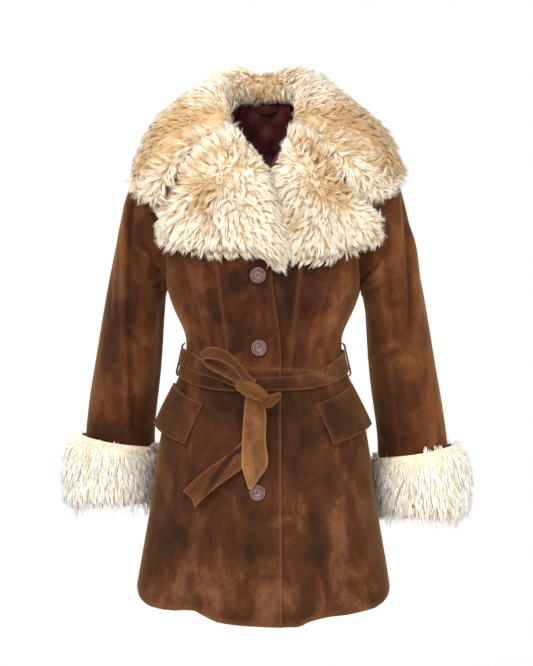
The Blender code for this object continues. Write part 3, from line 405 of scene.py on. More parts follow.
# %% The creases of this coat
CREASES = {
    ("sleeve_right", FRONT): (
        Crease(6.5, 4.9, -0.9, ((-202, -120), (-205, -144), (-209, -229), (-210, -339), (-213, -451),
            (-213, -515))),
        Crease(4.0, 5.3, 0.8, ((-168, -240), (-164, -308), (-168, -371), (-176, -435), (-180, -500))),
        Crease(3.4, 3.3, 0.9, ((-205, -212), (-192, -221), (-178, -233), (-158, -252))),
        Crease(3.1, 3.3, -0.9, ((-182, -205), (-177, -214), (-171, -233), (-154, -258))),
        Crease(2.8, 2.9, 0.8, ((-176, -276), (-168, -268), (-150, -255))),
        Crease(3.7, 4.9, 0.9, ((-222, -334), (-208, -347), (-194, -366), (-180, -372))),
        Crease(2.5, 4.1, -0.8, ((-246, -392), (-232, -384), (-214, -388))),
        Crease(3.1, 3.7, 0.9, ((-222, -486), (-213, -496), (-199, -514))),
        Crease(2.8, 3.3, -0.9, ((-198, -510), (-192, -506), (-174, -492))),
        Crease(2.5, 5.7, 0.7, ((-236, -180), (-243, -260), (-246, -330))),
    ),
    ("sleeve_left", FRONT): (
        Crease(5.9, 4.9, 0.9, ((222, -120), (226, -156), (231, -246), (234, -308), (229, -352))),
        Crease(3.4, 6.6, -0.8, ((192, -215), (195, -234), (201, -293), (216, -350))),
        Crease(3.4, 3.3, -0.9, ((156, -268), (164, -258), (180, -243), (189, -218))),
        Crease(2.6, 3.3, 0.8, ((160, -292), (173, -279), (196, -268))),
        Crease(3.7, 4.9, 0.9, ((164, -398), (178, -390), (205, -374), (222, -370))),
        Crease(2.6, 4.1, -0.8, ((232, -372), (244, -384), (262, -388))),
        Crease(3.1, 3.7, 0.8, ((170, -498), (179, -511), (195, -530), (206, -534))),
        Crease(2.3, 5.7, -0.7, ((238, -410), (247, -460), (254, -520))),
    ),
    ("sleeve_right", BACK): (
        Crease(3.4, 7.0, 0.8, ((-198, -150), (-206, -240), (-214, -330), (-220, -400))),
        Crease(2.6, 5.0, -0.9, ((-176, -352), (-196, -362), (-222, -356), (-240, -340))),
        Crease(2.2, 5.0, 0.9, ((-182, -382), (-204, -396), (-232, -390))),
    ),
    ("sleeve_left", BACK): (
        Crease(3.2, 7.0, -0.8, ((200, -160), (207, -250), (214, -345), (222, -415))),
        Crease(2.5, 5.0, 0.9, ((178, -368), (199, -376), (226, -368), (242, -354))),
        Crease(2.2, 5.0, -0.9, ((184, -400), (207, -411), (234, -404))),
    ),
    ("body", FRONT): (
        Crease(1.7, 6.0, 0.8, ((-112, -408), (-118, -436), (-128, -470))),
        Crease(1.4, 5.0, -0.8, ((-84, -416), (-86, -446), (-92, -486))),
        Crease(1.6, 6.0, -0.8, ((112, -400), (119, -428), (129, -466))),
        Crease(1.3, 6.0, 0.8, ((72, -424), (76, -452), (84, -500))),
        Crease(1.5, 5.0, 0.7, ((-98, -706), (-84, -738), (-68, -768), (-62, -786))),
        Crease(1.8, 13.0, 0.8, ((94, -570), (92, -640), (88, -700), (84, -770))),
        Crease(1.8, 13.0, -0.8, ((-156, -570), (-162, -650), (-158, -720), (-150, -770))),
        Crease(1.3, 9.0, 0.7, ((-70, -580), (-104, -640), (-122, -690))),
        Crease(1.5, 12.0, -0.7, ((140, -590), (146, -660), (150, -730))),
        Crease(1.6, 5.0, 0.8, ((-138, -300), (-126, -330), (-116, -362))),
        Crease(1.5, 5.0, -0.8, ((136, -296), (126, -326), (114, -356))),
        Crease(1.1, 4.0, 0.7, ((-92, -322), (-74, -319), (-54, -321))),
        Crease(1.2, 5.0, 0.7, ((112, -330), (98, -352), (84, -374))),
    ),
    ("body", BACK): (
        Crease(2.2, 7.0, 0.8, ((-92, -412), (-98, -462), (-108, -530))),
        Crease(2.0, 7.0, -0.8, ((-34, -414), (-38, -470), (-44, -548))),
        Crease(2.2, 8.0, 0.8, ((26, -412), (30, -476), (34, -560))),
        Crease(2.0, 7.0, -0.8, ((86, -412), (94, -458), (104, -520))),
        Crease(2.0, 7.0, 0.8, ((-70, -362), (-76, -318), (-90, -270))),
        Crease(1.8, 6.0, -0.8, ((0, -364), (-2, -322), (-4, -286))),
        Crease(2.0, 7.0, -0.8, ((68, -362), (76, -314), (92, -266))),
        Crease(2.4, 13.0, 0.7, ((-120, -560), (-126, -650), (-130, -760))),
        Crease(2.2, 13.0, -0.7, ((112, -570), (120, -660), (126, -770))),
    ),
}
TUBES = {
    "sleeve_right": [n for n in panels if n.startswith("sleeve") and n.endswith("right")],
    "sleeve_left": [n for n in panels if n.startswith("sleeve") and n.endswith("left")],
    "body": [n for n in panels if n.startswith(("bodice", "skirt"))],
}
ARMPIT_TOUCH = 2.5 * MM
ARMPIT_Z, ARMPIT_TALL, ARMPIT_WIDE = -0.265, (-0.05, -0.01), (-0.19, -0.165)
HEM_BLEND = 0.62, 0.775
HEM_LIFT = (
    (-201, 24), (-197.5, 13), (-191, 4), (-182, -1), (-171, -5), (-148, -6.5), (-128, -4.5), (-108, 2),
    (-96, 6), (-78, 4), (-62, 1), (0, 0), (49, -3), (61, -5), (69, -4.4), (78, -1), (106, -1),
    (135, -2.4), (157, 0), (178, 2.7), (190, 7.7), (198, 13), (201, 18))
for tube, nodes in TUBES.items():
    axis = tube_axis([panels[node] for node in nodes])
    folds = [(face, crease) for (name, face), rows in CREASES.items() if name == tube for crease in rows]
    for node in nodes:
        press_creases(panels[node], axis, folds)
for node in TUBES["sleeve_left"]:
    points = points_of(panels[node])
    near = smooth_step(-np.abs(points[:, 2] - ARMPIT_Z), *ARMPIT_TALL)
    points[:, 0] -= ARMPIT_TOUCH * (near * smooth_step(-points[:, 0], *ARMPIT_WIDE))
    set_points(panels[node], points)
for node in ("skirt_front_right", "skirt_front_left", "skirt_back"):
    points = points_of(panels[node])
    lift = np.interp(points[:, 0] / MM, *np.array(HEM_LIFT).T) * MM
    points[:, 2] += lift * smooth_step(-points[:, 2], *HEM_BLEND)
    set_points(panels[node], points)
print(sum(len(rows) for rows in CREASES.values()), "creases pressed")

# %% [markdown]
# ## The tied belt
# The belt is a soft band that is wrapped twice, gathered in a half bow and pulled through a knot, so
# it shows as pleated strips rather than flat ones. Each strip is swept along a path: every
# row gives a place, a width and the direction of the width, in millimetres. Pleats run along it.
# A solidify modifier then gives the band its two layers of suede. A cloth simulation cannot tie a
# knot, so the folds are placed where the photograph has them.

# %% The strip tool
STRIP_ACROSS = 13
BAND_THICK = 2.6 * MM
PLEAT_START = 0.13
Strip = namedtuple("Strip", "node name samples pleats depth lift rows")


def unit(rows):
    """Rows of vectors, each made one long."""
    return rows / (np.linalg.norm(rows, axis=1)[:, None] + 1e-12)


def smooth_rows(rows, count):
    """More rows on a smooth curve through the given ones."""
    rows = np.array(rows, dtype=float)
    ends = np.vstack([2 * rows[0] - rows[1], rows, 2 * rows[-1] - rows[-2]])
    place = np.linspace(0.0, len(rows) - 1.0, count)
    first = np.minimum(place.astype(int), len(rows) - 2)
    p = (place - first)[:, None]
    a, b, c, d = (ends[first + i] for i in range(4))
    return 0.5 * (2 * b + (c - a) * p + (2 * a - 5 * b + 4 * c - d) * p ** 2
                  + (3 * b - a - 3 * c + d) * p ** 3)


def tree_of(pieces):
    """One search tree over the surfaces of several pieces."""
    points, faces = [], []
    for piece in pieces:
        faces += [[i + len(points) for i in face.vertices] for face in piece.data.polygons]
        points += [vertex.co.copy() for vertex in piece.data.vertices]
    return BVHTree.FromPolygons(points, faces)


def hit_from_front(tree, x, z):
    """Where a straight line from the front meets the surfaces in a tree, and the normal there."""
    return tree.ray_cast(Vector((x, -0.5, z)), Vector((0.0, 1.0, 0.0)))[:2]


def sweep(strip, under=None):
    """One strip as a closed band, laid on the surface under it where one is given."""
    rows = smooth_rows(strip.rows, strip.samples)
    middle, width, side = rows[:, :3] * MM, rows[:, 3] * MM, unit(rows[:, 4:7])
    if under:
        for row in middle:
            hit = hit_from_front(under, row[0], row[2])[0]
            row[1] = hit.y - strip.lift * MM if hit else row[1]
    normal = unit(np.cross(np.gradient(middle, axis=0), side))
    across = np.linspace(-0.5, 0.5, STRIP_ACROSS)
    wave = strip.depth * MM * np.cos(2 * math.pi * strip.pleats * (across + PLEAT_START))
    drift = 0.5 + 0.5 * np.sin(np.linspace(0.6, 4.6, strip.samples))
    grid = middle[:, None] + across[None, :, None] * (width[:, None] * side)[:, None]
    grid = grid + (wave[None] * (0.55 + 0.45 * drift[:, None]))[:, :, None] * normal[:, None]
    index = np.arange(grid.shape[0] * STRIP_ACROSS).reshape(-1, STRIP_ACROSS)
    faces = np.stack([index[:-1, :-1], index[:-1, 1:], index[1:, 1:], index[1:, :-1]], axis=-1).reshape(-1, 4)
    mesh = bpy.data.meshes.new(strip.name)
    mesh.from_pydata(grid.reshape(-1, 3).tolist(), [], faces.tolist())
    piece = add_piece(strip.name, mesh)
    select_only(piece)
    layers = piece.modifiers.new("two_layers", "SOLIDIFY")
    layers.thickness, layers.offset = BAND_THICK, 0.0
    bpy.ops.object.modifier_apply(modifier=layers.name)
    crease_cut_edges(piece)
    soften(piece, 1)
    return piece


print("strip tool ready")

# %% The strips of the belt
STRIPS = (
    Strip("belt_knot", "belt_knot_wrap", 22, 2.6, 1.5, 0, (
        (-34, -121, -416, 15, 0.25, 0.0, 0.97), (-29, -135, -420, 17, 0.3, 0.0, 0.95),
        (-18, -144, -426, 21, 0.4, 0.0, 0.92), (-4, -147, -432, 23, 0.5, 0.0, 0.87),
        (9, -144, -440, 17, 0.55, 0.0, 0.83), (17, -135, -445, 11, 0.6, 0.0, 0.8),
        (20, -124, -447, 9, 0.6, 0.0, 0.8))),
    Strip(None, "belt_knot_tail", 12, 1.0, 1.8, 0, (
        (5, -137, -449, 12, -0.45, 0.1, 0.88), (14, -141, -449, 19, -0.45, 0.25, 0.86),
        (24, -140, -444, 16, -0.5, 0.25, 0.84), (35, -134, -436, 5, -0.5, 0.1, 0.86))),
    Strip("belt_bow_loop", "belt_bow_strip", 44, 1.6, 0.9, 0, (
        (-6, -139, -423, 16, 0.55, 0.10, 0.83), (-16, -141, -414, 15, 0.72, 0.15, 0.68),
        (-31, -143, -394, 13, 0.75, 0.2, 0.62), (-51, -144, -379, 18, 0.45, 0.2, 0.87),
        (-72, -142, -374, 19, 0.1, 0.35, 0.93), (-84, -137, -380, 16, -0.35, 0.75, 0.55),
        (-78, -131, -388, 15, 0.25, 0.85, 0.45), (-66, -130, -394, 16, 0.4, 0.5, 0.75),
        (-50, -130, -402, 16, 0.4, 0.4, 0.8), (-30, -131, -413, 15, 0.45, 0.3, 0.82),
        (-10, -133, -425, 14, 0.45, 0.2, 0.87))),
    Strip(None, "belt_front_right_fold", 34, 1.0, 0.9, 8.0, (
        (-134, 4, -382, 30, 0.1, 0.0, 0.99), (-132, -16, -382, 29, 0.15, 0.0, 0.98),
        (-126, -36, -383, 28, 0.25, 0.0, 0.96), (-114, -60, -387, 26, 0.35, 0.0, 0.93),
        (-92, -84, -397, 22, 0.4, 0.0, 0.92), (-72, -94, -405, 17, 0.35, 0.0, 0.94),
        (-50, -108, -413, 15, 0.35, 0.0, 0.94), (-32, -118, -420, 14, 0.3, 0.0, 0.95),
        (-16, -126, -426, 13, 0.3, 0.0, 0.95))),
)
strips = {}
run = tree_of([panels[node] for node in panels if node.endswith("right") and node.startswith(
    ("belt_front", "bodice_front", "skirt_front"))])
for strip in STRIPS:
    strips[strip.name] = sweep(strip, run if strip.lift else None)
print(len(strips), "strips with", sum(len(s.data.polygons) for s in strips.values()), "faces")

# %% Ends of the belt runs
LOOP_SWELL = 0.7 * MM
BULGE, BULGE_Z, BULGE_TALL, BULGE_SIDE = 3.6 * MM, -0.480, 0.020, (-0.006, 0.008)
TOP_RAISE, TOP_BLEND = 20 * MM, (-0.500, -0.456)
CURL_MIDDLE = (10, -506), (-35, -536), (-68, -566), (-112, -606)
CURL_LIFT, CURL_BLEND = 5 * MM, (-2 * MM, 12 * MM)


def normals_of(piece):
    """The outward direction at each vertex."""
    values = np.empty(3 * len(piece.data.vertices))
    piece.data.vertices.foreach_get("normal", values)
    return values.reshape(-1, 3)


def pull_end(piece, middle, reach, shift):
    """Moves the end of a run sideways, so that it goes in behind the knot."""
    points = points_of(piece)
    points[:, 0] += shift * MM * smooth_step(-np.abs(points[:, 0] - middle * MM), -reach * MM, 0.0)
    set_points(piece, points)


pull_end(panels["belt_front_left"], middle=34, reach=46, shift=-42)
pull_end(panels["belt_front_right"], middle=-32, reach=40, shift=14)
hanging = points_of(panels["belt_hanging_end"])
bulge = np.exp(-((hanging[:, 2] - BULGE_Z) / BULGE_TALL) ** 2) * smooth_step(hanging[:, 0], *BULGE_SIDE)
hanging[:, 0] += BULGE * bulge
hanging[:, 2] += TOP_RAISE * smooth_step(hanging[:, 2], *TOP_BLEND)
set_points(panels["belt_hanging_end"], hanging)
curled = points_of(panels["belt_curled_end"])
aside, _, _ = line_distance(curled, CURL_MIDDLE)
curled[:, 1] -= CURL_LIFT * smooth_step(aside, *CURL_BLEND)
set_points(panels["belt_curled_end"], curled)
for node in ("belt_loop_right", "belt_loop_left"):
    set_points(panels[node], points_of(panels[node]) + LOOP_SWELL * normals_of(panels[node]))
print("belt ends pulled in behind the knot")

# %% [markdown]
# ## Rubbed edges and finish of the panels
# Suede wears palest along its cut and folded edges. Each vertex stores how close it is to an edge,
# in an attribute called rub that the suede finish reads. Painting it by hand with a weight brush
# would give the same kind of attribute, with more chance of missing a place.

# %% Rubbed edges
RUB_REACH = 2.2 * MM
STRIP_RUB = 0.7
CURL_FOLD = (20, -500), (-35, -530.5), (-74, -588), (-90, -612)


def place_tree(places):
    """A search tree over some places."""
    tree = KDTree(len(places))
    for i, place in enumerate(places):
        tree.insert(place, i)
    tree.balance()
    return tree


def finish_panel(piece, finish):
    """Shades a piece smooth up to its cut edges and gives it a finish."""
    select_only(piece)
    bpy.ops.object.shade_smooth_by_angle(angle=CUT_EDGE)
    piece.data.materials.append(finish)


def mark_rubbed_edges(piece, amount):
    """Stores how strongly the edges of a piece are rubbed."""
    form = bmesh.new()
    form.from_mesh(piece.data)
    rims = [v.co.copy() for v in form.verts if any(
        len(e.link_faces) == 2 and e.calc_face_angle(0.0) > CUT_EDGE for e in v.link_edges)]
    rub = np.zeros(len(form.verts))
    if rims:
        tree = place_tree(rims)
        rub = np.array([math.exp(-(tree.find(v.co)[2] / RUB_REACH) ** 2) for v in form.verts]) * amount
    form.free()
    store(piece.data, "rub", rub)


for piece, amount, finish in (
        [(panels[node], row.rub, row.finish) for node, row in PANELS.items()]
        + [(piece, STRIP_RUB, suede if "fold" in name else bow_suede) for name, piece in strips.items()]):
    mark_rubbed_edges(piece, amount)
    finish_panel(piece, finish)
# A band along the fold of the curled end takes the darker suede as painted shade inside the roll.
curled = panels["belt_curled_end"].data
curled.materials.append(dark_suede_and_shade)
centres = np.array([face.center for face in curled.polygons])
signed, along, _ = line_distance(centres, CURL_FOLD)
shade_band_width = (2 + 8 * np.sin(math.pi * along)) * MM
for face, side, width in zip(curled.polygons, signed, shade_band_width):
    face.material_index = int(-width < side < 0)
print("rubbed edges marked on", len(panels) + len(strips), "pieces")

# %% [markdown]
# ## Quilted lining
# The coat is lined with satin that is quilted in diamonds: two rows of stitching cross, and the wadding
# under the satin swells between them. A shader could draw the diamonds as lines, but the swelling
# shows as soft highlights at the neck, so the back neck is pressed in along the stitching. The other
# panels only show their lining from below, so their inner faces take the same satin without relief.

# %% Lining
DIAMOND = 43 * MM, 48 * MM
PUFF, STITCH_DIP = 1.6 * MM, 0.9 * MM
NECK_FACING = -98 * MM
SATIN_FOLD, SATIN_THREAD = 34 * MM, 1.1 * MM


def make_satin(name, colour, fold_shade):
    """Woven satin: smooth, softly glossy, darker in the hollows of its soft folds as painted shade, with
    threads drawn coarser than real ones so that they show.
    """
    material, tree, shader = new_finish(name, Roughness=0.5, Specular_IOR_Level=0.2)
    place = add_node(tree, "ShaderNodeTexCoord").outputs["Object"]
    fold = add_node(tree, "ShaderNodeTexNoise", Vector=place, Scale=1 / SATIN_FOLD, Detail=3.0).outputs["Fac"]
    # The darker colour follows the hollows of the fold noise: painted shade.
    ramp = add_node(tree, "ShaderNodeValToRGB", {"stops": {0.35: fold_shade, 0.65: colour}}, Fac=fold)
    tree.links.new(ramp.outputs["Color"], shader.inputs["Base Color"])
    threads = add_node(tree, "ShaderNodeTexWave", {"bands_direction": "DIAGONAL"}, Vector=place,
                       Scale=1 / (6 * SATIN_THREAD), Distortion=1.2, Detail=2.0).outputs["Fac"]
    weave = add_node(tree, "ShaderNodeBump", Strength=0.25, Distance=0.2 * MM, Height=threads)
    soft = add_node(tree, "ShaderNodeBump", Strength=0.35, Distance=2.0 * MM, Height=fold,
                    Normal=weave.outputs["Normal"])
    tree.links.new(soft.outputs["Normal"], shader.inputs["Normal"])
    return material


def quilt(piece):
    """Swells the shown face of the lining between two crossing rows of stitching."""
    points, normals = points_of(piece), normals_of(piece)
    one, two = (points[:, 0] / DIAMOND[0] + way * points[:, 2] / DIAMOND[1] for way in (1, -1))
    swell = np.sqrt(np.abs(np.sin(math.pi * one) * np.sin(math.pi * two)))
    shown = smooth_step(-normals[:, 1], 0.2, 0.6)
    points += normals * (((PUFF + STITCH_DIP) * swell - STITCH_DIP) * shown)[:, None]
    set_points(piece, points)


satin = make_satin("quilted_burgundy_satin", "#5A2124", "#3A1215")
lining = copy_in_quads("lining_back_neck", "lining_back_neck_quilt")
crease_cut_edges(lining)
soften(lining, 1)
quilt(lining)
finish_panel(lining, satin)
for tube, nodes in TUBES.items():
    axis = tube_axis([panels[node] for node in nodes])
    for node in nodes:
        panels[node].data.materials.append(satin)
        for face in panels[node].data.polygons:
            z = face.center.z
            middle = Vector((np.polyval(axis[0], z), np.polyval(axis[1], z), z))
            inward = face.normal.dot((face.center - middle).normalized()) < -0.2
            face.material_index = int(inward or z > NECK_FACING and "centre" in node)
print("lining quilted,", len(lining.data.polygons), "faces")

# %% [markdown]
# ## Fur finishes
# The collar, lapels and cuffs are long-haired fur. Each hair is tan at its root and pale at its
# tip, so the valleys between locks look tan and the tips nearly white. Two attributes carry this:
# along runs from 0 at a root to 1 at a tip, and tone differs from lock to lock and also holds painted shade
# in the partings and where the collar turns away from the light. Hair is slightly glossy and lets light
# through, so it gets a soft highlight and no dark edges.

# %% Fur finishes
def make_fur(name, stops, dark_lock_and_shade):
    """Pile whose colour runs from root to tip and differs between locks, and grows darker where tone is
    raised, which also paints shade into the partings.
    """
    material, tree, shader = new_finish(
        name, Roughness=0.62, Specular_IOR_Level=0.3, Sheen_Weight=0.25, Sheen_Roughness=0.5)
    along = add_node(tree, "ShaderNodeAttribute", {"attribute_name": "along"}).outputs["Fac"]
    tone = add_node(tree, "ShaderNodeAttribute", {"attribute_name": "tone"}).outputs["Fac"]
    ramp = add_node(tree, "ShaderNodeValToRGB", {"stops": stops}, Fac=along).outputs["Color"]
    colour = add_node(tree, "ShaderNodeMix", {"data_type": "RGBA", "blend_type": "MULTIPLY"}, Factor=tone,
                      _6=ramp, _7=linear(dark_lock_and_shade)).outputs[2]
    tree.links.new(colour, shader.inputs["Base Color"])
    return material


collar_fur = make_fur("long_pile_fur_of_the_collar",
                      {0.0: "#D2B88E", 0.40: "#F2E3C6", 0.75: "#FCF3E2", 1.0: "#FFFCF5"}, "#D2B48C")
cuff_fur = make_fur("long_pile_fur_of_the_cuffs",
                    {0.0: "#F0E2C8", 0.35: "#FAF3E4", 0.70: "#FFFCF5", 1.0: "#FFFFFF"}, "#EBDCC0")
print("fur finishes:", collar_fur.name, cuff_fur.name)

# %% [markdown]
# ## Pelts
# Under the hair lies the skin that holds it. The solids of the fur pieces reach as far as the tips,
# so each pelt is a rounded copy that is drawn in by the height of the pile. Where the fur parts,
# between the folds of the collar and at the notch between collar and lapel, the pelt also sinks
# into a valley. The hair then follows by itself, because it grows from this surface.

# %% Pelts
Pelt = namedtuple("Pelt", "levels side up down finish slot")
LAPEL_PELT = Pelt(2, 7.0, 2.0, 12.0, collar_fur, "collar_fur")
CUFF_PELT = Pelt(2, 9.0, 5.0, 13.0, cuff_fur, "cuff_fur")
PELTS = {
    "collar": Pelt(2, 11.0, 5.0, 13.0, collar_fur, "collar_fur"),
    "lapel_right": LAPEL_PELT, "lapel_left": LAPEL_PELT, "cuff_right": CUFF_PELT, "cuff_left": CUFF_PELT,
}
MEETING = 3 * MM, 25 * MM
NECK_LINE = np.array([0.0, 0.012])
STAND_RADIUS = 95 * MM
Valley = namedtuple("Valley", "depth above below pull line")
VALLEYS = (
    Valley(12, 30, 5, 1.2, (
        (-43, -19), (-70, -19), (-86, -23), (-118, -42), (-136, -55), (-151, -72), (-177, -98))),
    Valley(6, 16, 5, 0.9, (
        (-17, -72), (-48, -72), (-78, -84), (-103, -102), (-118, -121), (-139, -136), (-158, -150))),
    Valley(6, 10, 8, 0.0, ((-75, -122), (-80, -150), (-77, -181))),
    Valley(12, 30, 5, 1.2, ((193, -90), (169, -70), (157, -55), (134, -37), (89, -29), (70, -20), (52, -16))),
    Valley(6, 16, 5, 0.9, ((190, -146), (160, -140), (128, -126), (106, -104), (86, -78), (64, -48))),
    Valley(4, 14, 6, 0.5, ((118, -104), (92, -82), (64, -64))),
)
GAPS = (
    ((-45, -33), (-74, -49), (-95, -66), (-124, -93), (-148, -126), (-157, -150)),
    ((180, -164), (168, -153), (148, -130), (123, -93), (102, -66), (84, -44), (53, -28)),
)
GAP_STRETCH, GAP_REACH = 19 * MM, 28 * MM
RIGHT_SLACK = 11 * MM
INSET_SHARE = 0.42


def draw_in(piece, pelt, neighbours):
    """Moves a surface inwards by the pile's height, by less where it is thin or meets other fur."""
    own, others = tree_of([piece]), tree_of(neighbours)
    points, normals = points_of(piece), normals_of(piece)
    up, down = (smooth_step(way * normals[:, 2], 0.2, 0.8) for way in (1, -1))
    reach = (pelt.side + up * (pelt.up - pelt.side) + down * (pelt.down - pelt.side)) * MM
    near = np.array([others.find_nearest(point)[3] for point in points])
    reach *= 0.1 + 0.9 * smooth_step(near, *MEETING)
    from_axis = np.linalg.norm(points[:, :2] - NECK_LINE, axis=1)
    reach *= 1.0 - 0.9 * smooth_step(points[:, 1], -10 * MM, 20 * MM) * (from_axis < STAND_RADIUS)
    for i in range(len(points)):
        start, inward = Vector(points[i]), -Vector(normals[i])
        hit = own.ray_cast(start + inward * 0.5 * MM, inward)
        depth = min(reach[i], INSET_SHARE * hit[3]) if hit[3] else 0.0
        points[i] += np.array(inward) * depth
    set_points(piece, points)


def close_gaps(piece):
    """Stretches the edges of collar and lapel until they meet, and settles the wearer's right side."""
    points = points_of(piece)
    for line in GAPS:
        signed, _, way = line_distance(points, line)
        step = np.minimum(np.abs(signed), GAP_STRETCH) * np.exp(-(signed / GAP_REACH) ** 2)
        points[:, [0, 2]] += way * (step * smooth_step(-points[:, 1], -8 * MM, 12 * MM))[:, None]
    points[:, 0] += RIGHT_SLACK * smooth_step(-points[:, 0], 150 * MM, 215 * MM)
    set_points(piece, points)


def sink_valleys(piece):
    """Lowers the front above each parting, steep at the fold below it and gentle above."""
    points, normals = points_of(piece), normals_of(piece)
    facing = smooth_step(-normals[:, 1], -0.2, 0.3) * smooth_step(-points[:, 1], -30 * MM, 0.0)
    for valley in VALLEYS:
        signed, along, _ = line_distance(points, valley.line)
        reach = np.where(signed > 0, valley.below, valley.above) * MM
        fade = smooth_step(along, 0.0, 0.12) * smooth_step(1 - along, 0.0, 0.12)
        points -= normals * (valley.depth * MM * np.exp(-(signed / reach) ** 2) * fade * facing)[:, None]
    set_points(piece, points)


pelts, standing = {}, {}
for node, row in PELTS.items():
    pelts[node] = copy_in_quads(node, node + "_pelt")
    soften(pelts[node], row.levels)
    draw_in(pelts[node], row, [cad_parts[other] for other in PELTS if other != node])
    if row.slot == "collar_fur":
        close_gaps(pelts[node])
    standing[node] = normals_of(pelts[node])
    if row.slot == "collar_fur":
        sink_valleys(pelts[node])
    # The pelt takes the root colour darkened by a middle tone: partly the skin's own tan, partly painted
    # shade between the hairs.
    for name, value in (("along", 0.1), ("tone", 0.5)):
        values = np.full(len(pelts[node].data.vertices), value)
        store(pelts[node].data, name, values)
    select_only(pelts[node])
    bpy.ops.object.shade_smooth()
    pelts[node].data.materials.append(row.finish)
print(len(pelts), "pelts")

# %% [markdown]
# ## Hair
# Fur falls in locks: neighbouring hairs wave together and meet at a point. Blender's hair system
# would draw this, but only hair that is a mesh can be kept with the coat. So each hair here is a thin
# three-sided tube that tapers to its tip, drawn thicker than a real hair. Roots are scattered over the
# pelt, each hair leans with the lie of the fur, bends to the middle of its lock and waves with it. All
# hairs of a piece are joined in one mesh from arrays, and the scatter is seeded so that it is the same
# each time.

# %% The hair tool
HAIR_SIDES = 3
SOFT_SHARE = 0.5
HAIR_STRAY, PHASE_STRAY, TONE_STRAY = 0.06, 0.15, 0.05
LOCK_LENGTHS, HAIR_LENGTHS, HAIR_WIDTHS = (0.8, 1.2), (0.82, 1.1), (0.75, 1.2)
GATHER, TURNS, LOCK_TONE = (0.25, 0.7), (0.9, 1.4), (0.15, 0.2)
Coat = namedtuple("Coat", "hairs steps lock_size length rise lie wave root_width seed sway", defaults=(0.30,))


def scatter(piece, normals, keep, count, rng):
    """Random places on the kept vertices' faces, even over the surface, with their normals."""
    mesh = piece.data
    mesh.calc_loop_triangles()
    corners = np.empty(3 * len(mesh.loop_triangles), dtype=np.int32)
    mesh.loop_triangles.foreach_get("vertices", corners)
    corners = corners.reshape(-1, 3)
    corners = corners[keep[corners].all(axis=1)]
    points = points_of(piece)
    a, b, c = (points[corners[:, i]] for i in range(3))
    areas = np.linalg.norm(np.cross(b - a, c - a), axis=1)
    chosen = rng.choice(len(corners), count, p=areas / areas.sum())
    u, v = rng.random(count), rng.random(count)
    flip = u + v > 1
    u[flip], v[flip] = 1 - u[flip], 1 - v[flip]
    weights = np.stack([1 - u - v, u, v], axis=1)[:, :, None]
    places = (points[corners[chosen]] * weights).sum(axis=1)
    return places, unit((normals[corners[chosen]] * weights).sum(axis=1))


def hair_lines(roots, normals, flow, length, coat):
    """Each hair's points before it is drawn into its lock: it rises, then lies down."""
    lie = flow - (flow * normals).sum(axis=1)[:, None] * normals
    lie /= np.maximum(np.linalg.norm(lie, axis=1), 0.7)[:, None]
    part = np.linspace(0.0, 1.0, coat.steps + 1)[None, :, None]
    rise, along = normals[:, None, :], lie[:, None, :]
    rising = coat.rise * (part - 0.45 * part ** 2) * rise
    lying = coat.lie * (0.55 * part + 0.45 * part ** 2) * along
    return roots[:, None, :] + length[:, None, None] * (rising + lying), lie


TanAndShadePatch = namedtuple("TanAndShadePatch", "x z radius amount")
# Patches of tanner hair: partly the fur's own tan, partly painted shade where the collar turns up and back,
# away from the light.
TAN_AND_SHADE_PATCHES = (
    TanAndShadePatch(-83, -119, 22, 0.6), TanAndShadePatch(-92, -150, 16, 0.5), TanAndShadePatch(-60, -128, 20, 0.3),
    TanAndShadePatch(93, -119, 22, 0.6), TanAndShadePatch(62, -172, 16, 0.7), TanAndShadePatch(122, -138, 22, 0.6),
    TanAndShadePatch(-115, -15, 38, 0.9), TanAndShadePatch(-150, -50, 32, 0.9), TanAndShadePatch(-178, -85, 22, 0.7),
    TanAndShadePatch(125, -12, 38, 0.9), TanAndShadePatch(162, -38, 32, 1.0), TanAndShadePatch(190, -72, 24, 0.9),
    TanAndShadePatch(0, 50, 40, 0.7), TanAndShadePatch(-66, -4, 16, 0.4), TanAndShadePatch(70, -6, 16, 0.5),
)


def tan_and_shade_places(points):
    """How much tanner the hair is in the partings and in some patches of the front: partly the fur's own tan,
    partly painted shade where the fur parts or turns away from the light.
    """
    tan = np.zeros(len(points))
    flat = points[:, [0, 2]]
    for valley in VALLEYS:
        distance, _, _ = line_distance(points, valley.line)
        reach = np.where(distance > 0, valley.below, 0.7 * valley.above) * MM
        tan += 0.6 * np.exp(-(distance / reach) ** 2)
    for patch in TAN_AND_SHADE_PATCHES:
        distance = np.linalg.norm(flat - np.array([patch.x, patch.z]) * MM, axis=1)
        tan += patch.amount * np.exp(-(distance / (patch.radius * MM)) ** 2)
    return tan * (points[:, 2] > -0.3)


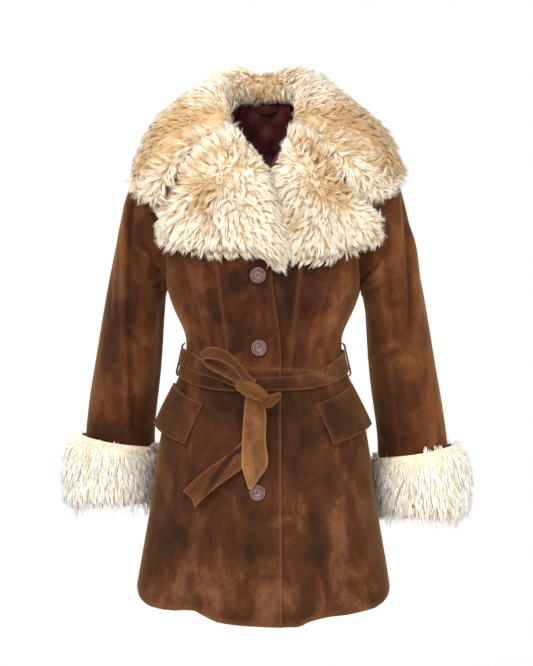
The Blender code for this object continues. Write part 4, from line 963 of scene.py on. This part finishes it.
def grow_hair(pelt, normals, name, coat, keep, flow_at):
    """One mesh of hairs on a pelt."""
    rng = np.random.default_rng(coat.seed)
    roots, normals = scatter(pelt, normals, keep, coat.hairs, rng)
    count = len(roots)
    locks = rng.choice(count, max(8, int(coat.hairs / coat.lock_size)), replace=False)
    tree = place_tree(roots[locks])
    lock = np.array([tree.find(root)[1] for root in roots])
    heart = locks[lock]
    sway = coat.sway * rng.standard_normal((len(locks), 3))
    flow = flow_at(roots, normals) + sway[lock] + HAIR_STRAY * rng.standard_normal((count, 3))
    lock_length = rng.uniform(*LOCK_LENGTHS, len(locks))
    length = coat.length * MM * lock_length[lock] * rng.uniform(*HAIR_LENGTHS, count)
    lines, lie = hair_lines(roots, normals, flow, length, coat)
    part = np.linspace(0.0, 1.0, coat.steps + 1)[None, :, None]
    gather = rng.uniform(*GATHER, count)[:, None, None] * part ** 1.3
    lines = lines + gather * (lines[heart] - lines)
    turns = rng.uniform(*TURNS, len(locks))[lock][:, None, None]
    phase = rng.uniform(0.0, 2 * math.pi, len(locks))[lock] + PHASE_STRAY * rng.standard_normal(count)
    across = unit(np.cross(lie, normals))[:, None, :]
    wave = np.sin(2 * math.pi * turns * part + phase[:, None, None]) - np.sin(phase)[:, None, None]
    lines = lines + coat.wave * MM * part ** 0.5 * wave * across
    tone = rng.normal(*LOCK_TONE, len(locks))[lock] + TONE_STRAY * rng.standard_normal(count)
    # Painted shade: the hair is made tanner in the partings and in patches turned away from the light.
    tone = np.clip(tone + tan_and_shade_places(roots), 0.0, 1.0)
    width = coat.root_width * MM * rng.uniform(*HAIR_WIDTHS, count)
    return join_hairs(name, lines, width, tone, normals)


def join_hairs(name, lines, width, tone, normals):
    """Closed tapering tubes round the hairs' points, joined in one mesh and shaded softly."""
    count, rings = len(lines), lines.shape[1] - 1
    ahead = np.diff(lines, axis=1, append=2 * lines[:, -1:] - lines[:, -2:-1])
    ahead = ahead / (np.linalg.norm(ahead, axis=2, keepdims=True) + 1e-12)
    helper = np.where(np.abs(ahead[:, :1, 2:]) > 0.9, [[[1.0, 0.0, 0.0]]], [[[0.0, 0.0, 1.0]]])
    one = np.cross(ahead, np.broadcast_to(helper, ahead.shape))
    one /= np.linalg.norm(one, axis=2, keepdims=True) + 1e-12
    two = np.cross(ahead, one)
    taper = np.linspace(1.0, 0.0, rings + 1)[None, :rings] ** 0.6 * 0.5 * width[:, None]
    angles = 2 * math.pi * np.arange(HAIR_SIDES) / HAIR_SIDES
    ring = (np.cos(angles)[None, None, :, None] * one[:, :rings, None, :]
            + np.sin(angles)[None, None, :, None] * two[:, :rings, None, :])
    tube = lines[:, :rings, None, :] + ring * taper[:, :, None, None]
    points = np.concatenate([tube.reshape(count, -1, 3), lines[:, -1:, :]], axis=1)
    each = rings * HAIR_SIDES + 1
    faces = [[2, 1, 0]]
    for r in range(rings - 1):
        for s in range(HAIR_SIDES):
            n = (s + 1) % HAIR_SIDES
            low, high = r * HAIR_SIDES, (r + 1) * HAIR_SIDES
            faces += [[low + s, low + n, high + n], [low + s, high + n, high + s]]
    last = (rings - 1) * HAIR_SIDES
    faces += [[last + s, last + (s + 1) % HAIR_SIDES, each - 1] for s in range(HAIR_SIDES)]
    faces = (np.array(faces)[None] + each * np.arange(count)[:, None, None]).reshape(-1, 3)
    mesh = bpy.data.meshes.new(name)
    mesh.from_pydata(points.reshape(-1, 3), [], faces.tolist())
    along = np.append(np.repeat(np.arange(rings) / rings, HAIR_SIDES), 1.0)
    store(mesh, "along", np.tile(along, count))
    store(mesh, "tone", np.repeat(tone, each))
    mesh.shade_smooth()
    own = np.empty(3 * len(mesh.vertices))
    mesh.vertex_normals.foreach_get("vector", own)
    soft = SOFT_SHARE * np.repeat(normals, each, axis=0) + (1 - SOFT_SHARE) * own.reshape(-1, 3)
    mesh.normals_split_custom_set_from_vertices(unit(soft).tolist())
    return add_piece(name, mesh)


print("hair tool ready")

# %% [markdown]
# ## Hair on the collar, the lapels and the cuffs
# On the collar the hair leaves the neck outwards and falls over the shoulders, and inside the neck
# it stands up towards the fold. On the lapels it lies down and out, on the cuffs straight down
# from the seam. No hair grows where the fur lies on the coat, because nothing would show there.

# %% Where hair grows and how it lies
CLEARANCE = 16 * MM
OVERLAP = 8 * MM
STAND_EDGE = 60 * MM
PARTING_REACH = 17 * MM
SEAM_STRIPS = 12


def from_neck(points):
    """The level direction away from the middle of the neck."""
    away = np.zeros_like(points)
    away[:, :2] = points[:, :2] - NECK_LINE
    return unit(away)


def to_partings(points):
    """Hair below a parting or a gap of the front points up to it and hides it."""
    pull = np.zeros_like(points)
    sides = [(0.15 * v.pull, v.pull, v.line) for v in VALLEYS] + [(1.3, 1.3, gap) for gap in GAPS]
    for above, below, line in sides:
        signed, _, way = line_distance(points, line)
        near = np.exp(-(signed / PARTING_REACH) ** 2) * np.where(signed > 0, below, above)
        pull[:, [0, 2]] += way * (near * smooth_step(-points[:, 1], -6 * MM, 14 * MM))[:, None]
    return pull


def collar_lie(points, normals):
    """Away from the neck, upwards at the front of the fold and down elsewhere."""
    front = np.interp(points[:, 2], (-0.15, -0.10, -0.06, 0.0), (-0.6, -0.3, 0.0, 0.6))
    lie = from_neck(points)
    lie[:, 2] = np.interp(points[:, 1], (-0.02, 0.04), (1.0, 0.0)) * (front + 0.7) - 0.7
    return lie + to_partings(points)


def lapel_lie(points, normals):
    """To both sides from the middle, upwards at the top and down below."""
    lie = np.zeros_like(points)
    lie[:, 0] = np.clip((points[:, 0] - points[:, 0].mean()) / (80 * MM), -0.7, 0.7)
    lie[:, 2] = np.interp(points[:, 2], (-0.20, -0.13, -0.09, -0.05), (-1.0, -0.7, -0.1, 0.4))
    return lie + to_partings(points)


def seam_height(points):
    """The height of a cuff's sloping seam over each place, from the highest places across the cuff."""
    edges = np.linspace(points[:, 0].min(), points[:, 0].max(), SEAM_STRIPS + 1)
    strip = np.clip(np.digitize(points[:, 0], edges) - 1, 0, SEAM_STRIPS - 1)
    tops = [points[strip == i, 2].max() for i in range(SEAM_STRIPS)]
    return np.polyval(np.polyfit(0.5 * (edges[:-1] + edges[1:]), tops, 1), points[:, 0])


def cuff_lie(points, normals):
    """Straight down from the seam with the sleeve, and a little up at the seam itself."""
    lie = 0.25 * normals
    below = seam_height(points) - points[:, 2]
    lie[:, 2] += np.interp(below, (0.0, 0.006, 0.016, 0.030), (0.12, -0.2, -0.8, -1.0))
    return lie


def uncovered(pelt):
    """The vertices of a pelt with no other piece close in front of them."""
    others = tree_of([solid for node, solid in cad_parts.items()
                      if node.startswith(("bodice", "sleeve"))])
    keep = []
    for point, normal in zip(points_of(pelt), normals_of(pelt)):
        at_front = point[1] < 0.0 and normal[1] < -0.1
        keep.append(at_front or others.ray_cast(Vector(point), Vector(normal), CLEARANCE)[0] is None)
    return np.array(keep)


def inside_lie(points, normals):
    """To both sides and down, over the edge of the lining."""
    lie = np.zeros_like(points)
    lie[:, 0] = np.clip(points[:, 0] / (30 * MM), -0.8, 0.8)
    lie[:, 2] = -0.6
    return lie


def faces_axis(points, normals, axis):
    """Which places face an upright axis through the given point."""
    away = np.zeros_like(points)
    away[:, :2] = points[:, :2] - axis
    return (normals * unit(away)).sum(axis=1) < -0.1


def underneath(points, normals):
    return faces_axis(points, normals, NECK_LINE) & (normals[:, 2] < -0.2)


def front_part(points, normals):
    return (points[:, 1] < OVERLAP) & ~underneath(points, normals)


def inside_part(points, normals):
    shown = ~underneath(points, normals) | (np.hypot(points[:, 0], points[:, 1]) < STAND_EDGE)
    return faces_axis(points, normals, NECK_LINE) & shown & (points[:, 1] > -OVERLAP)


def back_part(points, normals):
    return (points[:, 1] > -OVERLAP) & ~faces_axis(points, normals, NECK_LINE)


def every_part(points, normals):
    return np.ones(len(points), dtype=bool)


def outer_part(points, normals):
    return ~faces_axis(points, normals, points[:, :2].mean(axis=0))


Growth = namedtuple("Growth", "pelt name coat lie part")
COLLAR_COAT = Coat(18400, 2, 12, 25.0, 0.62, 0.75, 0.8, 1.25, 11)
BACK_COAT = COLLAR_COAT._replace(hairs=12500, steps=1, root_width=2.0, seed=12)
NECK_COAT = COLLAR_COAT._replace(hairs=2400, length=22.0, seed=13)
LAPEL_COAT = Coat(12000, 2, 12, 24.0, 0.66, 0.72, 0.8, 1.15, 21)
CUFF_COAT = Coat(6600, 2, 10, 27.0, 0.62, 0.85, 0.4, 1.5, 31, 0.14)
CUFF_LEVEL = np.array([1.0, 1.0, 0.3])
GROWTHS = (
    Growth("collar", "collar_hair_front", COLLAR_COAT, collar_lie, front_part),
    Growth("collar", "collar_hair_back", BACK_COAT, collar_lie, back_part),
    Growth("collar", "collar_hair_inside", NECK_COAT, inside_lie, inside_part),
    Growth("lapel_right", "lapel_right_hair", LAPEL_COAT, lapel_lie, every_part),
    Growth("lapel_left", "lapel_left_hair", LAPEL_COAT._replace(hairs=9600, seed=22), lapel_lie, every_part),
    Growth("cuff_right", "cuff_right_hair", CUFF_COAT, cuff_lie, outer_part),
    Growth("cuff_left", "cuff_left_hair", CUFF_COAT._replace(seed=32), cuff_lie, outer_part),
)
hair = {}
for growth in GROWTHS:
    pelt, normals = pelts[growth.pelt], standing[growth.pelt]
    keep = growth.part(points_of(pelt), normals)
    if growth.pelt.startswith("cuff"):
        normals = unit(normals * CUFF_LEVEL)
    else:
        keep &= uncovered(pelt)
    piece = grow_hair(pelt, normals, growth.name, growth.coat, keep, growth.lie)
    piece.data.materials.append(PELTS[growth.pelt].finish)
    hair.setdefault(growth.pelt, []).append(piece)
    print(piece.name, len(piece.data.polygons), "triangles")

# %% [markdown]
# ## Buttons
# The buttons are turned or moulded discs with rings round a sunk middle, four holes and a crossed
# thread. One is modelled from a cylinder: insets and extrusions make the rings, four small cylinders
# are cut out as holes, and a bevel breaks the edges. It is then copied to the four places, each
# copy with its own mesh, turned to face as the solid does.

# %% One button
RINGS = ((1.5, -0.55), (1.3, 0.35), (1.6, -0.45), (1.5, 0.3), (1.6, -0.5))
GROOVES = (9.0, 10.6), (5.9, 7.4)
HOLE_RADIUS, HOLE_OFFSET = 0.75 * MM, 1.25 * MM
BUTTON_RADIUS, BUTTON_THICK = 12 * MM, 3.2 * MM
HORN_CLOUD = 5 * MM


def make_button():
    """A ringed button at the origin that faces up."""
    bpy.ops.object.select_all(action="DESELECT")
    bpy.ops.mesh.primitive_cylinder_add(vertices=40, radius=BUTTON_RADIUS, depth=BUTTON_THICK)
    button = bpy.context.object
    bpy.ops.object.mode_set(mode="EDIT")
    bpy.ops.mesh.select_mode(type="FACE")
    bpy.ops.mesh.select_all(action="DESELECT")
    bpy.ops.object.mode_set(mode="OBJECT")
    for face in button.data.polygons:
        face.select = face.normal.z > 0.9
    bpy.ops.object.mode_set(mode="EDIT")
    for inset, step in RINGS:
        bpy.ops.mesh.inset(thickness=inset * MM)
        bpy.ops.mesh.extrude_region_move(TRANSFORM_OT_translate={"value": (0.0, 0.0, step * MM)})
    bpy.ops.object.mode_set(mode="OBJECT")
    for x in (-HOLE_OFFSET, HOLE_OFFSET):
        for y in (-HOLE_OFFSET, HOLE_OFFSET):
            bpy.ops.mesh.primitive_cylinder_add(vertices=10, radius=HOLE_RADIUS, depth=3 * BUTTON_THICK,
                                                location=(x, y, 0))
            drill = bpy.context.object
            select_only(button)
            hole = button.modifiers.new("hole", "BOOLEAN")
            hole.operation, hole.solver, hole.object = "DIFFERENCE", "EXACT", drill
            bpy.ops.object.modifier_apply(modifier=hole.name)
            bpy.data.objects.remove(drill)
    edges = button.modifiers.new("broken_edges", "BEVEL")
    edges.width, edges.segments = 0.22 * MM, 2
    edges.limit_method, edges.angle_limit = "ANGLE", math.radians(40)
    bpy.ops.object.modifier_apply(modifier=edges.name)
    bpy.ops.object.shade_smooth_by_angle(angle=math.radians(35))
    return button


def make_horn(name, stops):
    """Polished horn plastic: clouded colour under a clear gloss."""
    material, tree, shader = new_finish(name, Roughness=0.3, Coat_Weight=0.35, Coat_Roughness=0.12)
    place = add_node(tree, "ShaderNodeTexCoord").outputs["Object"]
    cloud = add_node(tree, "ShaderNodeTexNoise", Vector=place, Scale=1 / HORN_CLOUD, Detail=4.0,
                     Distortion=0.8).outputs["Fac"]
    ramp = add_node(tree, "ShaderNodeValToRGB", {"stops": stops}, Fac=cloud)
    tree.links.new(ramp.outputs["Color"], shader.inputs["Base Color"])
    return material


horn = make_horn("polished_horn_plastic", {0.3: "#4A2E2E", 0.5: "#64433F", 0.7: "#7E5B55"})
# A darker copy of the horn for the grooves and the upright walls: painted shade in the recesses.
groove_shade = make_horn("horn_plastic_of_the_grooves", {0.3: "#1E1112", 0.5: "#2C1A1B", 0.7: "#3C2626"})
pattern = make_button()
for finish in (horn, groove_shade):
    pattern.data.materials.append(finish)
# Faces in the grooves and on the upright walls take the darker horn as painted shade.
for face in pattern.data.polygons:
    out = math.hypot(face.center.x, face.center.y) / MM
    face.material_index = int(any(low < out < high for low, high in GROOVES) or abs(face.normal.z) < 0.3)
print("button pattern with", len(pattern.data.polygons), "faces")

# %% Buttons in place
def facing_of(solid):
    """The direction that the broad front face of a solid looks in."""
    total = Vector((0.0, 0.0, 0.0))
    for face in solid.data.polygons:
        if face.normal.y < -0.8:
            total += face.normal * face.area
    return total.normalized()


buttons, button_places = {}, []
for number in range(1, 5):
    node = "button_%d" % number
    low, high = (Vector(corner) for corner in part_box(node))
    facing = facing_of(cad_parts[node])
    turn = facing.to_track_quat("Z", "Y").to_matrix().to_4x4()
    mesh = pattern.data.copy()
    mesh.transform(Matrix.Translation((low + high) / 2) @ turn)
    buttons[node] = add_piece(node + "_ringed", mesh)
    button_places.append(((low + high) / 2, facing))
bpy.data.objects.remove(pattern)
print(len(buttons), "buttons")

# %% [markdown]
# ## Stitching
# Suede cannot be pressed open like cloth, so its seams are held flat by rows of topstitching that
# show on the outside: two along the front edge, one on each side of the princess seams, one inside
# the edges of the flaps and the belt. The buttonholes are bound with dark thread. One stitch is
# modelled from a sphere and copied along each row. Rows are drawn as seen from the front in
# millimetres and then dropped straight back onto the panel, so that they lie on its creases too.

# %% The sewing tool
Row = namedtuple("Row", "group nodes pitch line")
STITCH_SHARE, STITCH_WIDE, STITCH_HIGH = 0.74, 0.95 * MM, 0.7 * MM
EDGE_STEP, EDGE_REACH = 9.0, 6.0


def make_stitch():
    """One stitch, two units long, as points and faces."""
    bpy.ops.object.select_all(action="DESELECT")
    bpy.ops.mesh.primitive_uv_sphere_add(segments=5, ring_count=3, radius=1.0, rotation=(0, math.pi / 2, 0))
    bpy.ops.object.transform_apply(rotation=True)
    bead = bpy.context.object
    points = points_of(bead)
    points[:, 1:] *= (1 - 0.35 * points[:, :1] ** 2)
    faces = [list(face.vertices) for face in bead.data.polygons]
    bpy.data.objects.remove(bead)
    return points, faces


def walk(line, pitch):
    """Places along a line of points, one for each stitch."""
    line = np.array(line, dtype=float) * MM
    lengths = np.append(0.0, np.cumsum(np.linalg.norm(np.diff(line, axis=0), axis=1)))
    at = np.arange(0.0, lengths[-1], pitch * MM)
    return [np.stack([np.interp(at + part * pitch * MM, lengths, line[:, i]) for i in (0, 1)], axis=1)
            for part in (0.0, STITCH_SHARE)]


def join_stitches(name, points, faces):
    """One piece from the points and faces of many stitches."""
    mesh = bpy.data.meshes.new(name)
    mesh.from_pydata(points, [], faces)
    mesh.shade_smooth()
    return add_piece(name, mesh)


def sew(name, rows, surfaces, stitch):
    """All stitches of some rows in one mesh."""
    points, faces = [], []
    for row in rows:
        for start, end in zip(*walk(row.line, row.pitch)):
            ends = [hit_from_front(surfaces[row.nodes], *p) for p in (start, end)]
            if ends[0][0] is None or ends[1][0] is None:
                continue
            ahead, out = ends[1][0] - ends[0][0], ends[0][1]
            if ahead.length > 2 * row.pitch * MM:
                continue
            across = out.cross(ahead.normalized()) * STITCH_WIDE / 2
            place = Matrix((ahead / 2, across, out * STITCH_HIGH / 2)).transposed()
            middle = (ends[0][0] + ends[1][0]) / 2
            faces += [[i + len(points) for i in face] for face in stitch[1]]
            points += [middle + place @ Vector(p) for p in stitch[0]]
    return join_stitches(name, points, faces)


def edge_line(piece, along, low, high, way, inset):
    """A line a little inside one edge of a piece, as seen from the front."""
    points = points_of(piece)[normals_of(piece)[:, 1] < -0.3] / MM
    across = 2 if along == 0 else 0
    line = []
    for at in np.arange(low, high, EDGE_STEP):
        near = points[np.abs(points[:, along] - at) < EDGE_REACH]
        if len(near):
            edge = (way * near[:, across]).max() * way - way * inset
            line.append((at, edge) if along == 0 else (edge, at))
    return line


def beside(line, gap):
    """A line moved sideways by a gap."""
    line = np.array(line, dtype=float)
    ahead = np.gradient(line, axis=0)
    ahead /= np.linalg.norm(ahead, axis=1)[:, None]
    return line + gap * np.stack([-ahead[:, 1], ahead[:, 0]], axis=1)


stitch = make_stitch()
print("a stitch has", len(stitch[1]), "faces")

# %% The rows of stitching
FRONT_EDGE = ((33.2, -784), (29.0, -440)), ((28.6, -398), (27.5, -363), (26.0, -337), (17.0, -262))
PRINCESS = (
    ("bodice_right", ((-65.6, -231.5), (-52.0, -357.9), (-49.4, -397.0))),
    ("bodice_right", ((-109.2, -230.4), (-84.7, -353.3), (-79.0, -397.0))),
    ("bodice_left", ((63.1, -245.7), (52.0, -345.0), (45.9, -397.0))),
    ("bodice_left", ((110.4, -248.5), (78.0, -366.0), (68.0, -397.0))),
)
TWIST = 1.4 * MM
FLAP = ((-95, -457), (-118.5, -506), (-168, -485))
rows = [Row("topstitch", "skirt_right", 4.4, beside(FRONT_EDGE[0], gap)) for gap in (0, 6)]
rows += [Row("topstitch", "bodice_right", 4.4, beside(FRONT_EDGE[1], gap)) for gap in (0, 6)]
rows += [Row("topstitch", nodes, 4.2, beside(line, gap)) for nodes, line in PRINCESS for gap in (-2.6, 2.6)]
rows += [Row("topstitch", "bodice_right", 4.2, ((-44, -394.5), (20, -394.5)))]
rows += [Row("topstitch", "pocket_flap_right", 4.0, FLAP),
         Row("topstitch", "pocket_flap_left", 4.0, [(-x, z) for x, z in FLAP])]
for node, pitch, along, low, high, inset in (
        ("belt_front_right", 4.2, 0, -118, -36, 3.4), ("belt_front_left", 4.2, 0, 24, 120, 3.4),
        ("belt_hanging_end", 4.0, 2, -574, -466, 4.6)):
    rows += [Row("topstitch", node, pitch, edge_line(panels[node], along, low, high, way, inset))
             for way in (1, -1)]
for middle, facing in button_places:
    z = middle.z / MM
    nodes = "bodice_right" if z > -400 else "skirt_right"
    rows += [Row("buttonhole", nodes, 1.5, ((-30, z + gap), (-11, z + gap))) for gap in (-0.55, 0.55)]
SURFACES = {
    "bodice_right": [n for n in panels if n.startswith("bodice_front") and n.endswith("right")],
    "bodice_left": [n for n in panels if n.startswith("bodice_front") and n.endswith("left")],
    "skirt_right": ["skirt_front_right"],
}
surfaces = {row.nodes: tree_of([panels[n] for n in SURFACES.get(row.nodes, [row.nodes])]) for row in rows}


def make_thread(name, colour, light):
    """Twisted polyester, a little glossy; its lighter colour is a painted highlight on the turns of the
    twist, which is drawn coarser than it is so that it shows.
    """
    material, tree, shader = new_finish(name, Roughness=0.7, Specular_IOR_Level=0.2)
    place = add_node(tree, "ShaderNodeTexCoord").outputs["Object"]
    twist = add_node(tree, "ShaderNodeTexNoise", Vector=place, Scale=1 / TWIST, Detail=2.0).outputs["Fac"]
    ramp = add_node(tree, "ShaderNodeValToRGB", {"stops": {0.35: colour, 0.65: light}}, Fac=twist)
    tree.links.new(ramp.outputs["Color"], shader.inputs["Base Color"])
    return material


# Each thread has its own colour and a lighter one, a painted highlight on the turns of its twist.
THREADS = {"topstitch": ("brown_polyester_thread", "#3A2010", "#5A371E"),
           "buttonhole": ("plum_polyester_thread", "#2E191C", "#4A2C30")}
sewn = {}
for group, finish in THREADS.items():
    sewn[group] = sew(group + "_rows", [row for row in rows if row.group == group], surfaces, stitch)
    sewn[group].data.materials.append(make_thread(*finish))
    print(group, len(sewn[group].data.polygons) // len(stitch[1]), "stitches")

# %% Threads of the quilting and the buttons
LINING_HALF, LINING_LOW, LINING_TOP = 64, -122, 26
CROSS_SIZE, CROSS_HEIGHT = (2.3 * MM, 0.55 * MM, 0.5 * MM), 0.95 * MM
quilt_rows = []
for way in (1, -1):
    for number in range(-5, 6):
        line = [(x, way * (number * DIAMOND[0] / MM - x) * DIAMOND[1] / DIAMOND[0])
                for x in range(-LINING_HALF, LINING_HALF + 1, 2)]
        line = [p for p in line if LINING_LOW < p[1] < LINING_TOP]
        if len(line) > 3:
            quilt_rows.append(Row("quilting", "lining", 4.0, line))
sewn["quilting"] = sew("quilting_rows", quilt_rows, {"lining": tree_of([lining])}, stitch)
sewn["quilting"].data.materials.append(make_thread("burgundy_polyester_thread", "#240B0E", "#3A161A"))
points, faces = [], []
for middle, facing in button_places:
    turn = facing.to_track_quat("Z", "Y").to_matrix()
    for angle in (45, 135):
        size = Matrix.Diagonal(CROSS_SIZE)
        spin = Matrix.Rotation(math.radians(angle), 3, "Z")
        faces += [[i + len(points) for i in face] for face in stitch[1]]
        points += [middle + turn @ (spin @ (size @ Vector(p)) + Vector((0, 0, CROSS_HEIGHT)))
                   for p in stitch[0]]
sewn["button"] = join_stitches("button_threads", points, faces)
sewn["button"].data.materials.append(make_thread("russet_polyester_thread", "#6E2F24", "#9C4C3A"))
print("quilting", len(sewn["quilting"].data.polygons) // len(stitch[1]), "stitches")

# %% [markdown]
# Every finished piece is attached so that it moves with the coat, and the solid it stands for is hidden.
# Cloth also
# says the size it was cut to: the rectangle that its paper pattern needs, and the area inside the
# curved outline. That keeps the shells honest, because cloth that was stretched to fit would no
# longer have the area of its cut.

# %% Pieces and their places
def declare(piece, node=None):
    """Attaches a piece so that it moves with the coat, and hides the solid it stands for where one is given.
    """
    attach(piece, "root")
    if node:
        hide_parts(node)


for node, piece in (panels | pelts).items():
    declare(piece, node)
for strip in STRIPS:
    declare(strips[strip.name], strip.node)
for node, piece in buttons.items():
    declare(piece, node)
declare(lining, "lining_back_neck")
for group, piece in sewn.items():
    declare(piece)
for node, pieces in hair.items():
    for piece in pieces:
        declare(piece)
print(len(panels) + len(pelts) + len(strips) + len(buttons) + 1, "pieces placed")

# %% Sizes of the cut
Cut = namedtuple("Cut", "name width length area held on")
# A star stands for right and then for left.
CUTS = (
    Cut("bodice_front_centre_right", 0.14, 0.37, 0.0410, "draped", "bodice_front_middle_right"),
    Cut("bodice_front_centre_left", 0.13, 0.37, 0.0370, "draped", "bodice_front_middle_left"),
    Cut("bodice_front_middle_*", 0.08, 0.38, 0.0240, "draped", "bodice_front_side_*"),
    Cut("bodice_front_side_*", 0.09, 0.27, 0.0190, "draped", "bodice_back"),
    Cut("bodice_back", 0.54, 0.42, 0.1600, "draped", ""),
    Cut("skirt_front_right", 0.31, 0.42, 0.1060, "hung", "bodice_front_centre_right"),
    Cut("skirt_front_left", 0.31, 0.42, 0.1050, "hung", "bodice_front_centre_left"),
    Cut("skirt_back", 0.50, 0.42, 0.1750, "hung", "bodice_back"),
    Cut("sleeve_top_right", 0.28, 0.50, 0.1130, "hung", "bodice_back"),
    Cut("sleeve_top_left", 0.28, 0.50, 0.1150, "hung", "bodice_back"),
    Cut("sleeve_under_right", 0.15, 0.42, 0.0490, "hung", "sleeve_top_right"),
    Cut("sleeve_under_left", 0.15, 0.42, 0.0510, "hung", "sleeve_top_left"),
    Cut("pocket_flap_*", 0.10, 0.09, 0.0073, "hung", "skirt_front_*"),
    Cut("belt_back", 0.04, 0.29, 0.0115, "laid", "bodice_back"),
    Cut("belt_front_right", 0.04, 0.15, 0.0055, "laid", "skirt_front_right"),
    Cut("belt_front_left", 0.04, 0.17, 0.0063, "laid", "skirt_front_left"),
    Cut("belt_front_right_fold", 0.04, 0.14, 0.0051, "folded", "belt_front_right"),
    Cut("belt_knot_wrap", 0.04, 0.06, 0.0021, "gathered", "belt_front_right"),
    Cut("belt_knot_tail", 0.03, 0.03, 0.0007, "gathered", "belt_front_left"),
    Cut("belt_bow_strip", 0.04, 0.10, 0.0036, "folded", "belt_front_right"),
    Cut("belt_hanging_end", 0.042, 0.13, 0.0051, "hung", "belt_front_left"),
    Cut("belt_curled_end", 0.042, 0.15, 0.0057, "folded", "skirt_front_right"),
    Cut("belt_loop_*", 0.010, 0.07, 0.0006, "hung", "bodice_front_side_*"),
    Cut("hanger_loop", 0.010, 0.036, 0.0003, "hung", "lining_back_neck"),
    Cut("lining_back_neck", 0.16, 0.17, 0.0210, "laid", "bodice_back"),
    Cut("collar", 0.72, 0.26, 0.1500, "laid", "bodice_back"),
    Cut("lapel_right", 0.17, 0.24, 0.0350, "laid", "bodice_front_centre_right"),
    Cut("lapel_left", 0.15, 0.21, 0.0260, "laid", "bodice_front_centre_left"),
    Cut("cuff_*", 0.44, 0.13, 0.0540, "laid", "sleeve_top_*"),
)
for cut in CUTS:
    for side in ("right", "left") if "*" in cut.name else ("",):
        name = cut.name.replace("*", side)
